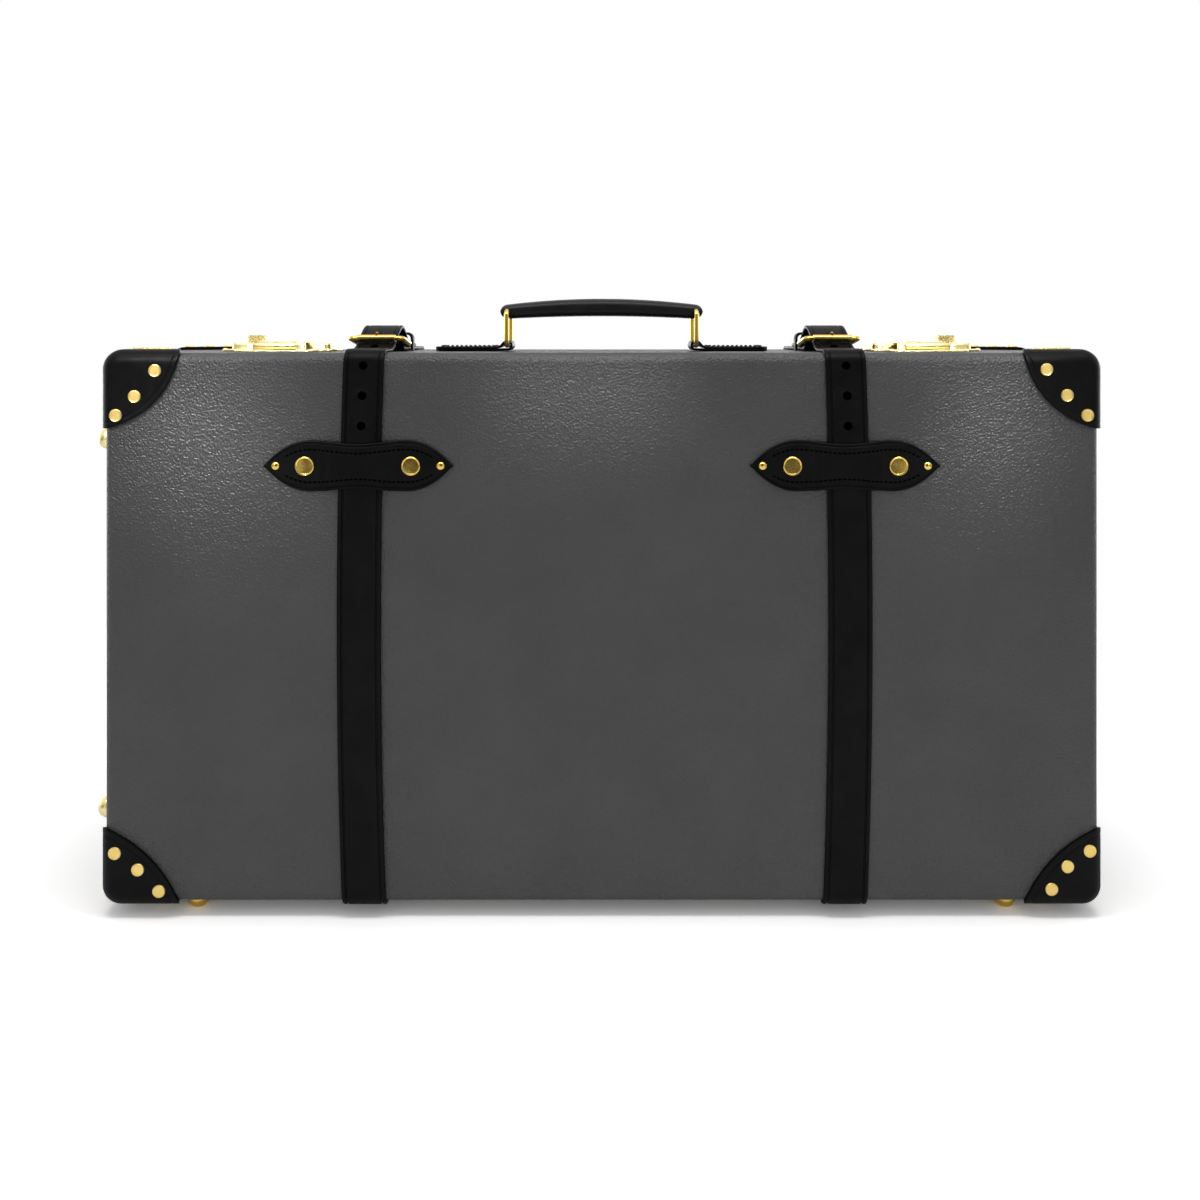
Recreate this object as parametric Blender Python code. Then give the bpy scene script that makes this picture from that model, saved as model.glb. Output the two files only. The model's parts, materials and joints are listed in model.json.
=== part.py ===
"""Rigid fibre suitcase with moulded leather corners, two buckled straps and brass locks.

X runs across the case, Y from its front to its back, Z up. Sizes are in metres.
"""
import math

import bmesh
import bpy
from mathutils import Matrix, Vector

for old in list(bpy.data.objects):
    bpy.data.objects.remove(old, do_unlink=True)

# Case body
CASE_WIDTH = 0.840
CASE_HEIGHT = 0.464
CASE_DEPTH = 0.200
LID_DEPTH = 0.064
BOARD = 0.0025
CORNER_ROUND = 0.014
EDGE_ROUND = 0.009
SEAM_GAP = 0.0006
FIT = 0.0003
ROUND_STEPS = 4

# Inner frame of the base and the linings
FRAME_THICKNESS = 0.0025
FRAME_PLAY = 0.0006
FRAME_REACH = 0.010
FRAME_DEPTH = 0.034
LINING = 0.0015
LINING_STEPS = 3

# Moulded leather corners
LEATHER = 0.0027
CORNER_REACH = 0.064
CORNER_DEPTH_MARGIN = 0.007
CORNER_CENTRE = 0.012
LOW_CORNER_CENTRE = 0.040

# Dome feet
FOOT_HEIGHT = 0.011
FOOT_RADIUS = 0.010
FOOT_FLAT = 0.0032
FOOT_INSET = 0.074
FOOT_BACK = 0.020

# Straps
STRAP_X = 0.2022
STRAP_BOW = 0.0044
STRAP_DRIFT = 0.0025
STRAP_WIDTH = 0.037
STRAP_UPPER_WIDTH = 0.0342
STRAP_THICKNESS = 0.003
STRAP_HINGE_GAP = 0.0035
STRAP_TIP = 0.012
HOLE_RADIUS = 0.0025
HOLE_PITCH = 0.0254
HOLES = 5

# Buckles, measured back from the seam and up from the top of the case
BUCKLE_BACK = 0.022
BUCKLE_LENGTH = 0.038
BUCKLE_FRONT_HALF = 0.0235
BUCKLE_REAR_HALF = 0.0232
BUCKLE_ROUND = 0.0045
WIRE_RADIUS = 0.0021
ROLLER_RADIUS = 0.0031
ROLLER_LENGTH = 0.0340
ROLLER_HEIGHT = 0.0120
PRONG_RADIUS = 0.0016
EYE_CLEAR = 0.0010
STRAP_CREST = 0.0222
STRAP_RISE_START = 0.031
STRAP_FALL = 0.040
TONGUE_LENGTH = 0.082
CHAPE_FOLD = 0.032
KEEPER_BACK = 0.0225
KEEPER_WIDTH = 0.010
KEEPER_THICKNESS = 0.0022
KEEPER_HALF = 0.0209
KEEPER_HEIGHT = 0.0162
KEEPER_ROUND = 0.005

# Pointed loops that hold the straps to the broad faces
LOOP_X = 0.2045
LOOP_DROP = 0.095
LOOP_HALF = 0.0795
LOOP_LOBE = 0.0215
LOOP_WAIST = 0.0186
LOOP_LOBE_AT = 0.040
LOOP_THICKNESS = 0.0025
LOOP_RAMP = 0.010
STUD_AT = 0.0445
STUD_RADIUS = 0.008
STUD_HEIGHT = 0.0030

# Handle
HANDLE_BACK = 0.022
RING_X = 0.0855
RING_HALF = 0.023
RING_WIRE = 0.00225
RING_ROUND = 0.005
RING_RISE = 0.0308
RING_PLAY = 0.0004
GRIP_HALF_DEPTH = 0.0175
GRIP_END_HALF = 0.0066
GRIP_MID_HALF = 0.0080
GRIP_ARCH = 0.0038
CHAPE_LENGTH = 0.0655
CHAPE_HALF = 0.0175
CHAPE_LEATHER = 0.0025
CHAPE_END = 0.0040

# Locks
LOCK_X = 0.293
LOCK_PLATE_HALF = 0.0515
LOCK_PLATE = 0.0016
LOCK_FRONT = 0.003
LOCK_PLATE_DEPTH = 0.038
HOUSING_HALF = 0.045
HOUSING_FRONT = 0.0115
HOUSING_DEPTH = 0.0265
HOUSING_TOP = 0.0076
SLIDE_OUT = 0.0245
SLIDE_HALF = 0.0078
SLIDE_HALF_DEPTH = 0.0056
SLIDE_TOP = 0.0146
SLIDE_TRAVEL = 0.008
SLIDE_STEM = 0.0030
HASP_IN = 0.0095
LID_PLATE_HALF = 0.0355
LID_PLATE_DEPTH = 0.036
LID_PLATE_FRONT = 0.040
HASP_HALF = 0.0170
HASP_THICKNESS = 0.0022
HASP_AXIS_HEIGHT = 0.0053
HASP_AXIS_BACK = 0.007
HASP_BARREL = 0.0030
HASP_PIN = 0.0015
HASP_END = 0.0300
STAPLE_HALF = 0.0060
STAPLE_DEPTH = 0.007
STAPLE_BACK = 0.0145
STAPLE_PLAY = 0.0025

# Hinges at the bottom of the seam
HINGE_X = 0.110
HINGE_HALF = 0.030
HINGE_LEAF = 0.0015
HINGE_LEAF_DEPTH = 0.024
HINGE_BARREL = 0.0030
HINGE_PIN = 0.0015

# Places that follow from the sizes. The body stands off the middle by the feet on its left end.
SKIN = FIT + LEATHER
CENTRE_X = (FOOT_HEIGHT - SKIN) / 2
BOTTOM = FOOT_HEIGHT
TOP = BOTTOM + CASE_HEIGHT
MIDDLE_Z = (BOTTOM + TOP) / 2
FRONT = -CASE_DEPTH / 2
BACK = CASE_DEPTH / 2
SEAM = FRONT + LID_DEPTH
HINGE_Z = BOTTOM - FIT - HINGE_BARREL
STRAP_OFF = FIT + STRAP_THICKNESS / 2
BAR_Y = SEAM + BUCKLE_BACK
ROLLER_Y = BAR_Y - BUCKLE_LENGTH
HANDLE_Y = SEAM + HANDLE_BACK
EYE_RADIUS = WIRE_RADIUS + FIT + PRONG_RADIUS * 2
BAR_HEIGHT = EYE_RADIUS + EYE_CLEAR
RING_BORE = RING_WIRE + RING_PLAY
CHAPE_LOOP = RING_BORE + CHAPE_LEATHER
RING_LOW = FIT + CHAPE_LOOP
RING_HIGH = RING_LOW + RING_RISE
SIDES = (("left", -1), ("right", 1))

COLOURS = {
    "board": (0.075, 0.076, 0.078, 1.0),
    "leather": (0.012, 0.012, 0.013, 1.0),
    "brass": (0.62, 0.42, 0.13, 1.0),
    "cloth": (0.30, 0.24, 0.17, 1.0),
    "wood": (0.36, 0.25, 0.14, 1.0),
}


# Making solids

def solid(name, shape, finish, pivot=(0, 0, 0), parent=None):
    """One closed body with its own material, its origin at pivot."""
    verts, faces = shape
    origin = Vector(pivot)
    mesh = bpy.data.meshes.new(name)
    mesh.from_pydata([Vector(v) - origin for v in verts], [], faces)
    work = bmesh.new()
    work.from_mesh(mesh)
    bmesh.ops.recalc_face_normals(work, faces=work.faces)
    work.to_mesh(mesh)
    work.free()
    obj = bpy.data.objects.new(name, mesh)
    bpy.context.scene.collection.objects.link(obj)
    obj.location = origin
    if parent:
        obj.parent = parent
        obj.matrix_parent_inverse = Matrix.Translation(-parent.location)
    if finish:
        surface = bpy.data.materials.new(name)
        surface.use_nodes = True
        shader = surface.node_tree.nodes["Principled BSDF"]
        shader.inputs["Base Color"].default_value = COLOURS[finish]
        shader.inputs["Metallic"].default_value = 1.0 if finish == "brass" else 0.0
        shader.inputs["Roughness"].default_value = 0.25 if finish == "brass" else 0.6
        mesh.materials.append(surface)
    return obj


def guide(name, shape):
    """A solid that only shapes others."""
    obj = solid(name, shape, None)
    obj.hide_render = True
    obj.display_type = "WIRE"
    return obj


def shaped(obj, operation, other):
    step = obj.modifiers.new(operation.lower(), "BOOLEAN")
    step.operation = operation
    step.object = other


def pivot_point(name, at):
    empty = bpy.data.objects.new(name, None)
    bpy.context.scene.collection.objects.link(empty)
    empty.location = Vector(at)
    return empty


def loft(loops, closed=False):
    count = len(loops[0])
    verts = [point for loop in loops for point in loop]
    faces = []
    for step in range(len(loops) if closed else len(loops) - 1):
        a = step * count
        b = (step + 1) % len(loops) * count
        for k in range(count):
            after = (k + 1) % count
            faces.append((a + k, a + after, b + after, b + k))
    if not closed:
        faces.append(tuple(range(count)))
        faces.append(tuple(range(len(verts) - count, len(verts))))
    return verts, faces


def outline(half_x, half_z, radius, steps=ROUND_STEPS):
    """A rectangle with round corners, as (x, z) points."""
    points = []
    for sign_x, sign_z, start in ((1, 1, 0), (-1, 1, 90), (-1, -1, 180), (1, -1, 270)):
        for k in range(steps + 1):
            angle = math.radians(start + 90 * k / steps)
            points.append((
                sign_x * (half_x - radius) + radius * math.cos(angle),
                sign_z * (half_z - radius) + radius * math.sin(angle),
            ))
    return points


def smooth(t):
    t = min(max(t, 0.0), 1.0)
    return t * t * (3 - 2 * t)


def directions(points):
    """Unit tangent at each point of an open plane path."""
    found = []
    for k in range(len(points)):
        u0, v0 = points[max(k - 1, 0)]
        u1, v1 = points[min(k + 1, len(points) - 1)]
        long = math.hypot(u1 - u0, v1 - v0)
        found.append(((u1 - u0) / long, (v1 - v0) / long))
    return found


def band(points, halves, thickness, place):
    """A strip of leather or plate along a plane path, as wide as halves says at each point."""
    loops = []
    for (u, v), (du, dv), half in zip(points, directions(points), halves):
        nu, nv = -dv * thickness / 2, du * thickness / 2
        loops.append([
            place(u + nu, v + nv, -half),
            place(u + nu, v + nv, half),
            place(u - nu, v - nv, half),
            place(u - nu, v - nv, -half),
        ])
    return loft(loops)


def prism(profile, low, high, place):
    return loft([[place(u, v, w) for u, v in profile] for w in (low, high)])


def rounded_polygon(corners, radius, steps=3):
    points = []
    for k, corner in enumerate(corners):
        here = Vector(corner)
        back = (Vector(corners[k - 1]) - here).normalized()
        on = (Vector(corners[(k + 1) % len(corners)]) - here).normalized()
        half = back.angle(on) / 2
        centre = here + (back + on).normalized() * radius / math.sin(half)
        start = here + back * radius / math.tan(half) - centre
        end = here + on * radius / math.tan(half) - centre
        first = math.atan2(start.y, start.x)
        turn = math.remainder(math.atan2(end.y, end.x) - first, 2 * math.pi)
        for n in range(steps + 1):
            angle = first + turn * n / steps
            points.append((centre.x + radius * math.cos(angle), centre.y + radius * math.sin(angle)))
    return points


def ring_tube(points, radius, place, sides=8):
    """A wire along a closed plane path."""
    loops = []
    for k, (u, v) in enumerate(points):
        u0, v0 = points[k - 1]
        u1, v1 = points[(k + 1) % len(points)]
        long = math.hypot(u1 - u0, v1 - v0)
        nu, nv = -(v1 - v0) / long, (u1 - u0) / long
        loop = []
        for n in range(sides):
            angle = 2 * math.pi * (n + 0.5) / sides
            out, up = radius * math.cos(angle), radius * math.sin(angle)
            loop.append(place(u + nu * out, v + nv * out, up))
        loops.append(loop)
    return loft(loops, closed=True)


def rod(start, end, radii, sides=12):
    """A round rod from start to end, with a radius at each of equal steps along it."""
    start, end = Vector(start), Vector(end)
    along = (end - start).normalized()
    across = along.orthogonal().normalized()
    up = along.cross(across)
    loops = []
    for k, radius in enumerate(radii):
        centre = start.lerp(end, k / (len(radii) - 1))
        loops.append([
            centre + radius * (math.cos(a) * across + math.sin(a) * up)
            for a in (2 * math.pi * n / sides for n in range(sides))
        ])
    return loft(loops)


def pipe(start, end, outer, inner, sides=12):
    """A round tube from start to end."""
    hull = rod(start, end, (outer, outer), sides)[0]
    bore = rod(start, end, (inner, inner), sides)[0]
    return loft([hull[:sides], hull[sides:], bore[sides:], bore[:sides]], closed=True)


def turned(at, along, profile, sides=16):
    """A turned piece: profile is (distance along the axis, radius)."""
    along = Vector(along)
    across = along.orthogonal().normalized()
    up = along.cross(across)
    loops = []
    for distance, radius in profile:
        centre = Vector(at) + along * distance
        loops.append([
            centre + radius * (math.cos(a) * across + math.sin(a) * up)
            for a in (2 * math.pi * n / sides for n in range(sides))
        ])
    return loft(loops)


def ellipsoid(centre, radii, sides=36, rows=18):
    verts = [tuple(centre[k] + (0, 0, radii[2])[k] for k in range(3))]
    for row in range(1, rows):
        tilt = math.pi * row / rows
        for n in range(sides):
            turn = 2 * math.pi * n / sides
            verts.append((
                centre[0] + radii[0] * math.sin(tilt) * math.cos(turn),
                centre[1] + radii[1] * math.sin(tilt) * math.sin(turn),
                centre[2] + radii[2] * math.cos(tilt),
            ))
    verts.append(tuple(centre[k] - (0, 0, radii[2])[k] for k in range(3)))
    last = len(verts) - 1
    faces = []
    for n in range(sides):
        after = (n + 1) % sides
        faces.append((0, 1 + n, 1 + after))
        faces.append((last, last - sides + after, last - sides + n))
        for row in range(rows - 2):
            a = 1 + row * sides
            faces.append((a + n, a + sides + n, a + sides + after, a + after))
    return verts, faces


def pad(centre, halves, low, high, corner, edge):
    """A plate with round corners and an eased top edge."""
    loops = []
    for z, inset in ((low, 0.0), (high - edge, 0.0), (high - edge * 0.3, edge * 0.3), (high, edge)):
        shape = outline(halves[0] - inset, halves[1] - inset, max(corner - inset, edge * 0.2), 3)
        loops.append([(centre[0] + x, centre[1] + y, z) for x, y in shape])
    return loft(loops)


def block(low, high):
    x0, y0, z0 = low
    x1, y1, z1 = high
    return loft([[(x0, y0, z), (x1, y0, z), (x1, y1, z), (x0, y1, z)] for z in (z0, z1)])


# The shells and what lines them

def body_loop(inset, y, steps=ROUND_STEPS):
    shape = outline(CASE_WIDTH / 2 - inset, CASE_HEIGHT / 2 - inset, CORNER_ROUND - inset, steps)
    return [(CENTRE_X + x, y, MIDDLE_Z + z) for x, z in shape]


def edge_loops(face, inward, side_inset, face_inset, radius, steps=ROUND_STEPS):
    """Loops round the edge of a broad face, from the narrow sides to the face."""
    loops = []
    for k in range(steps + 1):
        angle = math.radians(90 * k / steps)
        inset = side_inset + radius * (1 - math.cos(angle))
        y = face + inward * (face_inset + radius * (1 - math.sin(angle)))
        loops.append(body_loop(inset, y, steps))
    return loops


def tray(face, rim, side_inset, face_inset, thickness, steps=ROUND_STEPS):
    inward = 1 if rim > face else -1
    radius = max(EDGE_ROUND - side_inset, thickness + 0.001)
    deep = side_inset + thickness
    outer = edge_loops(face, inward, side_inset, face_inset, radius, steps)
    inner = edge_loops(face, inward, deep, face_inset + thickness, radius - thickness, steps)
    outer.insert(0, body_loop(side_inset, rim, steps))
    inner.insert(0, body_loop(deep, rim, steps))
    return loft(inner[::-1] + outer)


def body_block(grow):
    radius = EDGE_ROUND + grow
    front = edge_loops(FRONT, 1, -grow, -grow, radius)
    back = edge_loops(BACK, -1, -grow, -grow, radius)
    return loft(front[::-1] + back)


lid = pivot_point("lid_axis", (CENTRE_X, SEAM, HINGE_Z))

solid("lid_shell", tray(FRONT, SEAM - SEAM_GAP / 2, 0, 0, BOARD), "board", parent=lid)
solid("base_shell", tray(BACK, SEAM + SEAM_GAP / 2, 0, 0, BOARD), "board")

frame_out = BOARD + FRAME_PLAY
frame_in = frame_out + FRAME_THICKNESS
frame_front = SEAM - FRAME_REACH
frame_back = frame_front + FRAME_DEPTH
solid("base_frame", loft([
    body_loop(frame_out, frame_front),
    body_loop(frame_out, frame_back),
    body_loop(frame_in, frame_back),
    body_loop(frame_in, frame_front),
], closed=True), "wood")

lining_gap = BOARD + FIT
lid_lining_rim = frame_front - FRAME_PLAY * 2
solid("lid_lining", tray(FRONT, lid_lining_rim, lining_gap, lining_gap, LINING, LINING_STEPS), "cloth",
      parent=lid)
base_lining_rim = SEAM + FRAME_PLAY
solid("base_lining", tray(BACK, base_lining_rim, frame_in + FIT, lining_gap, LINING, LINING_STEPS), "cloth")

# Leather corners: the skin over the rounded body, kept inside an ellipsoid about each corner
inner_body = guide("corner_inside", body_block(FIT))
corner_reach_back = LID_DEPTH - CORNER_DEPTH_MARGIN


def corner_radii(centre):
    """Radii of the ellipsoid that meets the edges at the corner's reach, with its centre that far outside."""
    width_sum = (CORNER_REACH + centre) ** 2 + centre ** 2
    depth_sum = (corner_reach_back + centre) ** 2
    across_share = (depth_sum - centre ** 2) / (width_sum * depth_sum - 2 * centre ** 4)
    depth_share = (1 - 2 * across_share * centre ** 2) / depth_sum
    return across_share ** -0.5, depth_share ** -0.5, across_share ** -0.5


for half, face, outward, holder in (("lid", FRONT, -1, lid), ("base", BACK, 1, None)):
    for side, sign in SIDES:
        for level, up, centre in (("top", 1, CORNER_CENTRE), ("bottom", -1, LOW_CORNER_CENTRE)):
            name = f"{half}_corner_{level}_{side}"
            region = guide(name + "_region", ellipsoid((
                CENTRE_X + sign * (CASE_WIDTH / 2 + centre),
                face + outward * centre,
                MIDDLE_Z + up * (CASE_HEIGHT / 2 + centre),
            ), corner_radii(centre)))
            corner = solid(name, body_block(SKIN), "leather", parent=holder)
            shaped(corner, "INTERSECT", region)
            shaped(corner, "DIFFERENCE", inner_body)

# Feet under the case and on its left end
foot_profile = [
    (FIT, FOOT_RADIUS),
    (FOOT_HEIGHT * 0.20, FOOT_RADIUS),
    (FOOT_HEIGHT * 0.56, FOOT_RADIUS * 0.89),
    (FOOT_HEIGHT * 0.84, FOOT_RADIUS * 0.62),
    (FOOT_HEIGHT, FOOT_FLAT),
]
foot_y = {"lid": FRONT + FOOT_BACK, "base": BACK - FOOT_BACK}
for half, holder in (("lid", lid), ("base", None)):
    for side, sign in SIDES:
        at = (CENTRE_X + sign * (CASE_WIDTH / 2 - FOOT_INSET), foot_y[half], BOTTOM)
        solid(f"{half}_foot_{side}", turned(at, (0, 0, -1), foot_profile), "brass", parent=holder)
    for level, up in (("high", 1), ("low", -1)):
        at = (CENTRE_X - CASE_WIDTH / 2, foot_y[half], MIDDLE_Z + up * (CASE_HEIGHT / 2 - FOOT_INSET))
        solid(f"{half}_end_foot_{level}", turned(at, (-1, 0, 0), foot_profile), "brass", parent=holder)


# Straps and buckles

def quarter(y, z, start, radius, steps=ROUND_STEPS):
    turn = [math.radians(start - 90 * k / steps) for k in range(steps + 1)]
    return [(y + radius * math.cos(a), z + radius * math.sin(a)) for a in turn]


def stretch(start, end, steps):
    return [
        (start[0] + (end[0] - start[0]) * k / steps, start[1] + (end[1] - start[1]) * k / steps)
        for k in range(steps + 1)
    ]


def strap_bow(z):
    """How far a strap bows outwards on the front, most at half height."""
    return STRAP_BOW * max(1 - ((z - MIDDLE_Z) / (CASE_HEIGHT / 2)) ** 2, 0.0)


tail_height = STRAP_OFF + STRAP_THICKNESS + FIT
rise_from = min(FRONT + STRAP_RISE_START, ROLLER_Y - 0.012)


def tongue_height(y):
    """Height of the strap's middle over the top of the case, where it goes through the buckle."""
    if y < BAR_Y:
        return STRAP_OFF + (STRAP_CREST - STRAP_OFF) * smooth((y - rise_from) / (BAR_Y - rise_from))
    return STRAP_CREST + (tail_height - STRAP_CREST) * smooth((y - BAR_Y) / STRAP_FALL)


bend = EDGE_ROUND + STRAP_OFF
tongue_end = BAR_Y + TONGUE_LENGTH
top_steps = 26
front_steps = 10
top_from = FRONT + EDGE_ROUND
front_path = [(SEAM - STRAP_HINGE_GAP, BOTTOM - STRAP_OFF)]
front_path += quarter(FRONT + EDGE_ROUND, BOTTOM + EDGE_ROUND, 270, bend)
front_run = stretch(front_path[-1], (front_path[-1][0], TOP - EDGE_ROUND), front_steps)
front_path += front_run[1:-1]
front_path += quarter(FRONT + EDGE_ROUND, TOP - EDGE_ROUND, 180, bend)
front_path += [
    (y, TOP + tongue_height(y))
    for y in (top_from + (tongue_end - top_from) * k / top_steps for k in range(1, top_steps + 1))
]
back_path = [(SEAM + STRAP_HINGE_GAP, BOTTOM - STRAP_OFF)]
back_path += quarter(BACK - EDGE_ROUND, BOTTOM + EDGE_ROUND, 270, bend)[::-1]
back_path[1:] = [(2 * (BACK - EDGE_ROUND) - y, z) for y, z in back_path[1:]][::-1]
back_path += [
    (2 * (BACK - EDGE_ROUND) - y, z)
    for y, z in quarter(BACK - EDGE_ROUND, TOP - EDGE_ROUND, 180, bend)
]
back_path.append((BAR_Y + CHAPE_FOLD * 0.7, TOP + STRAP_OFF))


def at_length(path, length):
    """Point and direction at a length along a path."""
    for (y0, z0), (y1, z1) in zip(path, path[1:]):
        span = math.hypot(y1 - y0, z1 - z0)
        if length <= span:
            break
        length -= span
    share = length / span
    return Vector((y0 + (y1 - y0) * share, z0 + (z1 - z0) * share)), Vector((y1 - y0, z1 - z0)) / span


bar = Vector((BAR_Y, TOP + BAR_HEIGHT))
roller = Vector((ROLLER_Y, TOP + ROLLER_HEIGHT))
prong_off = WIRE_RADIUS + FIT + PRONG_RADIUS
prong_tip = roller + Vector((-0.0025, ROLLER_RADIUS + FIT + PRONG_RADIUS))
to_bar = bar - prong_tip
prong_turn = math.atan2(to_bar.y, to_bar.x) + math.asin(prong_off / to_bar.length)
prong_long = math.sqrt(to_bar.length ** 2 - prong_off ** 2)
prong_root = prong_tip + Vector((math.cos(prong_turn), math.sin(prong_turn))) * prong_long

walked = 0.0
for before, after in zip(front_path, front_path[1:]):
    on_line = prong_tip.y + (after[0] - prong_tip.x) * math.tan(prong_turn)
    walked += math.hypot(after[0] - before[0], after[1] - before[1])
    if after[0] > ROLLER_Y and after[1] > on_line:
        break
prong_hole_at = walked

chape_profile = [(BAR_Y + CHAPE_FOLD * 0.5, TOP + FIT * 1.5), (BAR_Y, TOP + FIT * 1.5)]
fold = WIRE_RADIUS + FIT + STRAP_THICKNESS
chape_profile += [
    (bar.x + fold * math.cos(a), bar.y + fold * math.sin(a))
    for a in (math.radians(250 - 170 * k / 10) for k in range(11))
]
chape_profile += [
    (BAR_Y + CHAPE_FOLD * 0.32, TOP + BAR_HEIGHT + fold * 0.55),
    (BAR_Y + CHAPE_FOLD * 0.62, TOP + STRAP_THICKNESS * 1.75),
    (BAR_Y + CHAPE_FOLD * 0.95, TOP + STRAP_THICKNESS + FIT * 0.5),
    (BAR_Y + CHAPE_FOLD * 0.95, TOP + STRAP_OFF),
]

frame_shape = rounded_polygon([
    (-BUCKLE_FRONT_HALF, BUCKLE_LENGTH),
    (-BUCKLE_REAR_HALF, 0.0),
    (BUCKLE_REAR_HALF, 0.0),
    (BUCKLE_FRONT_HALF, BUCKLE_LENGTH),
], BUCKLE_ROUND)
slope = (roller - bar).normalized()
lean = (roller - bar).length / BUCKLE_LENGTH

for side, sign in SIDES:
    x = CENTRE_X + sign * STRAP_X + STRAP_DRIFT
    strap_half = STRAP_WIDTH / 2

    def on_strap(y, z, w, x=x):
        return x + w, y, z

    def on_front(y, z, w, x=x, sign=sign):
        return x + sign * strap_bow(z) + w, y, z

    def on_buckle(u, v, w, x=x):
        v *= lean
        return x + u, bar.x + slope.x * v - slope.y * w, bar.y + slope.y * v + slope.x * w

    tip_widths = []
    for y, z in front_path:
        near = (tongue_end - y) / STRAP_TIP if z > TOP else 1.0
        taper = smooth((z - TOP + LOOP_DROP + LOOP_LOBE) / (LOOP_LOBE * 2))
        half = strap_half + (STRAP_UPPER_WIDTH / 2 - strap_half) * taper
        tip_widths.append(half * (0.2 + 0.8 * math.sqrt(smooth(near))))
    front = solid(f"strap_front_{side}", band(front_path, tip_widths, STRAP_THICKNESS, on_front),
                  "leather", parent=lid)
    slot_from = prong_tip.lerp(prong_root, 0.1)
    slot_to = prong_tip.lerp(prong_root, 0.8)
    slot_radius = PRONG_RADIUS + FIT * 3
    shaped(front, "DIFFERENCE", guide(f"prong_slot_{side}", rod(
        (x, slot_from.x, slot_from.y), (x, slot_to.x, slot_to.y), (slot_radius, slot_radius), 12)))
    for k in range(1, HOLES + 1):
        at, along = at_length(front_path, prong_hole_at - k * HOLE_PITCH)
        out = Vector((-along.y, along.x)) * STRAP_THICKNESS
        hole_x = x + sign * strap_bow(at.y)
        shaped(front, "DIFFERENCE", guide(f"strap_hole_{side}_{k}", rod(
            (hole_x, at.x - out.x, at.y - out.y), (hole_x, at.x + out.x, at.y + out.y),
            (HOLE_RADIUS, HOLE_RADIUS), 12)))

    back = solid(f"strap_back_{side}",
                 band(back_path, [strap_half] * len(back_path), STRAP_THICKNESS, on_strap), "leather")
    chape_half = strap_half - FIT
    shaped(back, "UNION", guide(f"buckle_chape_{side}",
                                prism(chape_profile, -chape_half, chape_half, on_strap)))
    bar_bore = WIRE_RADIUS + FIT
    shaped(back, "DIFFERENCE", guide(f"bar_bore_{side}", rod(
        (x - STRAP_WIDTH, bar.x, bar.y), (x + STRAP_WIDTH, bar.x, bar.y), (bar_bore, bar_bore), 16)))
    slot_half = PRONG_RADIUS + FIT * 2
    shaped(back, "DIFFERENCE", guide(f"prong_gap_{side}", block(
        (x - slot_half, BAR_Y - fold * 2, TOP - FIT),
        (x + slot_half, BAR_Y + EYE_RADIUS + FIT * 2, TOP + STRAP_CREST))))

    solid(f"buckle_frame_{side}", ring_tube(frame_shape, WIRE_RADIUS, on_buckle), "brass",
          pivot=(x, bar.x, bar.y))
    reel = ROLLER_LENGTH / 2
    solid(f"buckle_roller_{side}", pipe((x - reel, roller.x, roller.y), (x + reel, roller.x, roller.y),
          ROLLER_RADIUS, WIRE_RADIUS + FIT), "brass", pivot=(x, roller.x, roller.y))
    prong = solid(f"buckle_prong_{side}", rod(
        (x, prong_root.x, prong_root.y), (x, prong_tip.x, prong_tip.y),
        (PRONG_RADIUS, PRONG_RADIUS, PRONG_RADIUS, PRONG_RADIUS * 0.85), 12), "brass",
        pivot=(x, bar.x, bar.y))
    shaped(prong, "UNION", guide(f"prong_eye_{side}", pipe(
        (x - PRONG_RADIUS, bar.x, bar.y), (x + PRONG_RADIUS, bar.x, bar.y), EYE_RADIUS, bar_bore)))

    def over_top(u, v, w, x=x):
        return x + u, BAR_Y + KEEPER_BACK + KEEPER_WIDTH / 2 + w, TOP + v

    arch = rounded_polygon([
        (-KEEPER_HALF, FIT - KEEPER_HEIGHT), (-KEEPER_HALF, KEEPER_HEIGHT),
        (KEEPER_HALF, KEEPER_HEIGHT), (KEEPER_HALF, FIT - KEEPER_HEIGHT),
    ], KEEPER_ROUND)
    arch = [(-KEEPER_HALF, FIT)] + [p for p in arch if p[1] > FIT] + [(KEEPER_HALF, FIT)]
    solid(f"strap_keeper_{side}",
          band(arch, [KEEPER_WIDTH / 2] * len(arch), KEEPER_THICKNESS, over_top), "leather")

    # Pointed loops, flat on the board at both ends and raised over the strap
    loop_x = CENTRE_X + sign * LOOP_X
    bow_reach = strap_bow(TOP - LOOP_DROP - LOOP_LOBE)
    shift = max(abs(x - loop_x), abs(x + sign * bow_reach - loop_x))
    strap_clear = STRAP_WIDTH / 2 + shift + FIT * 2
    flat = FIT + LOOP_THICKNESS / 2
    for half, face, outward, holder in (("front", FRONT, -1, lid), ("back", BACK, 1, None)):

        def on_face(u, v, w, face=face, outward=outward, loop_x=loop_x):
            return loop_x + u, face + outward * v, TOP - LOOP_DROP + w

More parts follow.
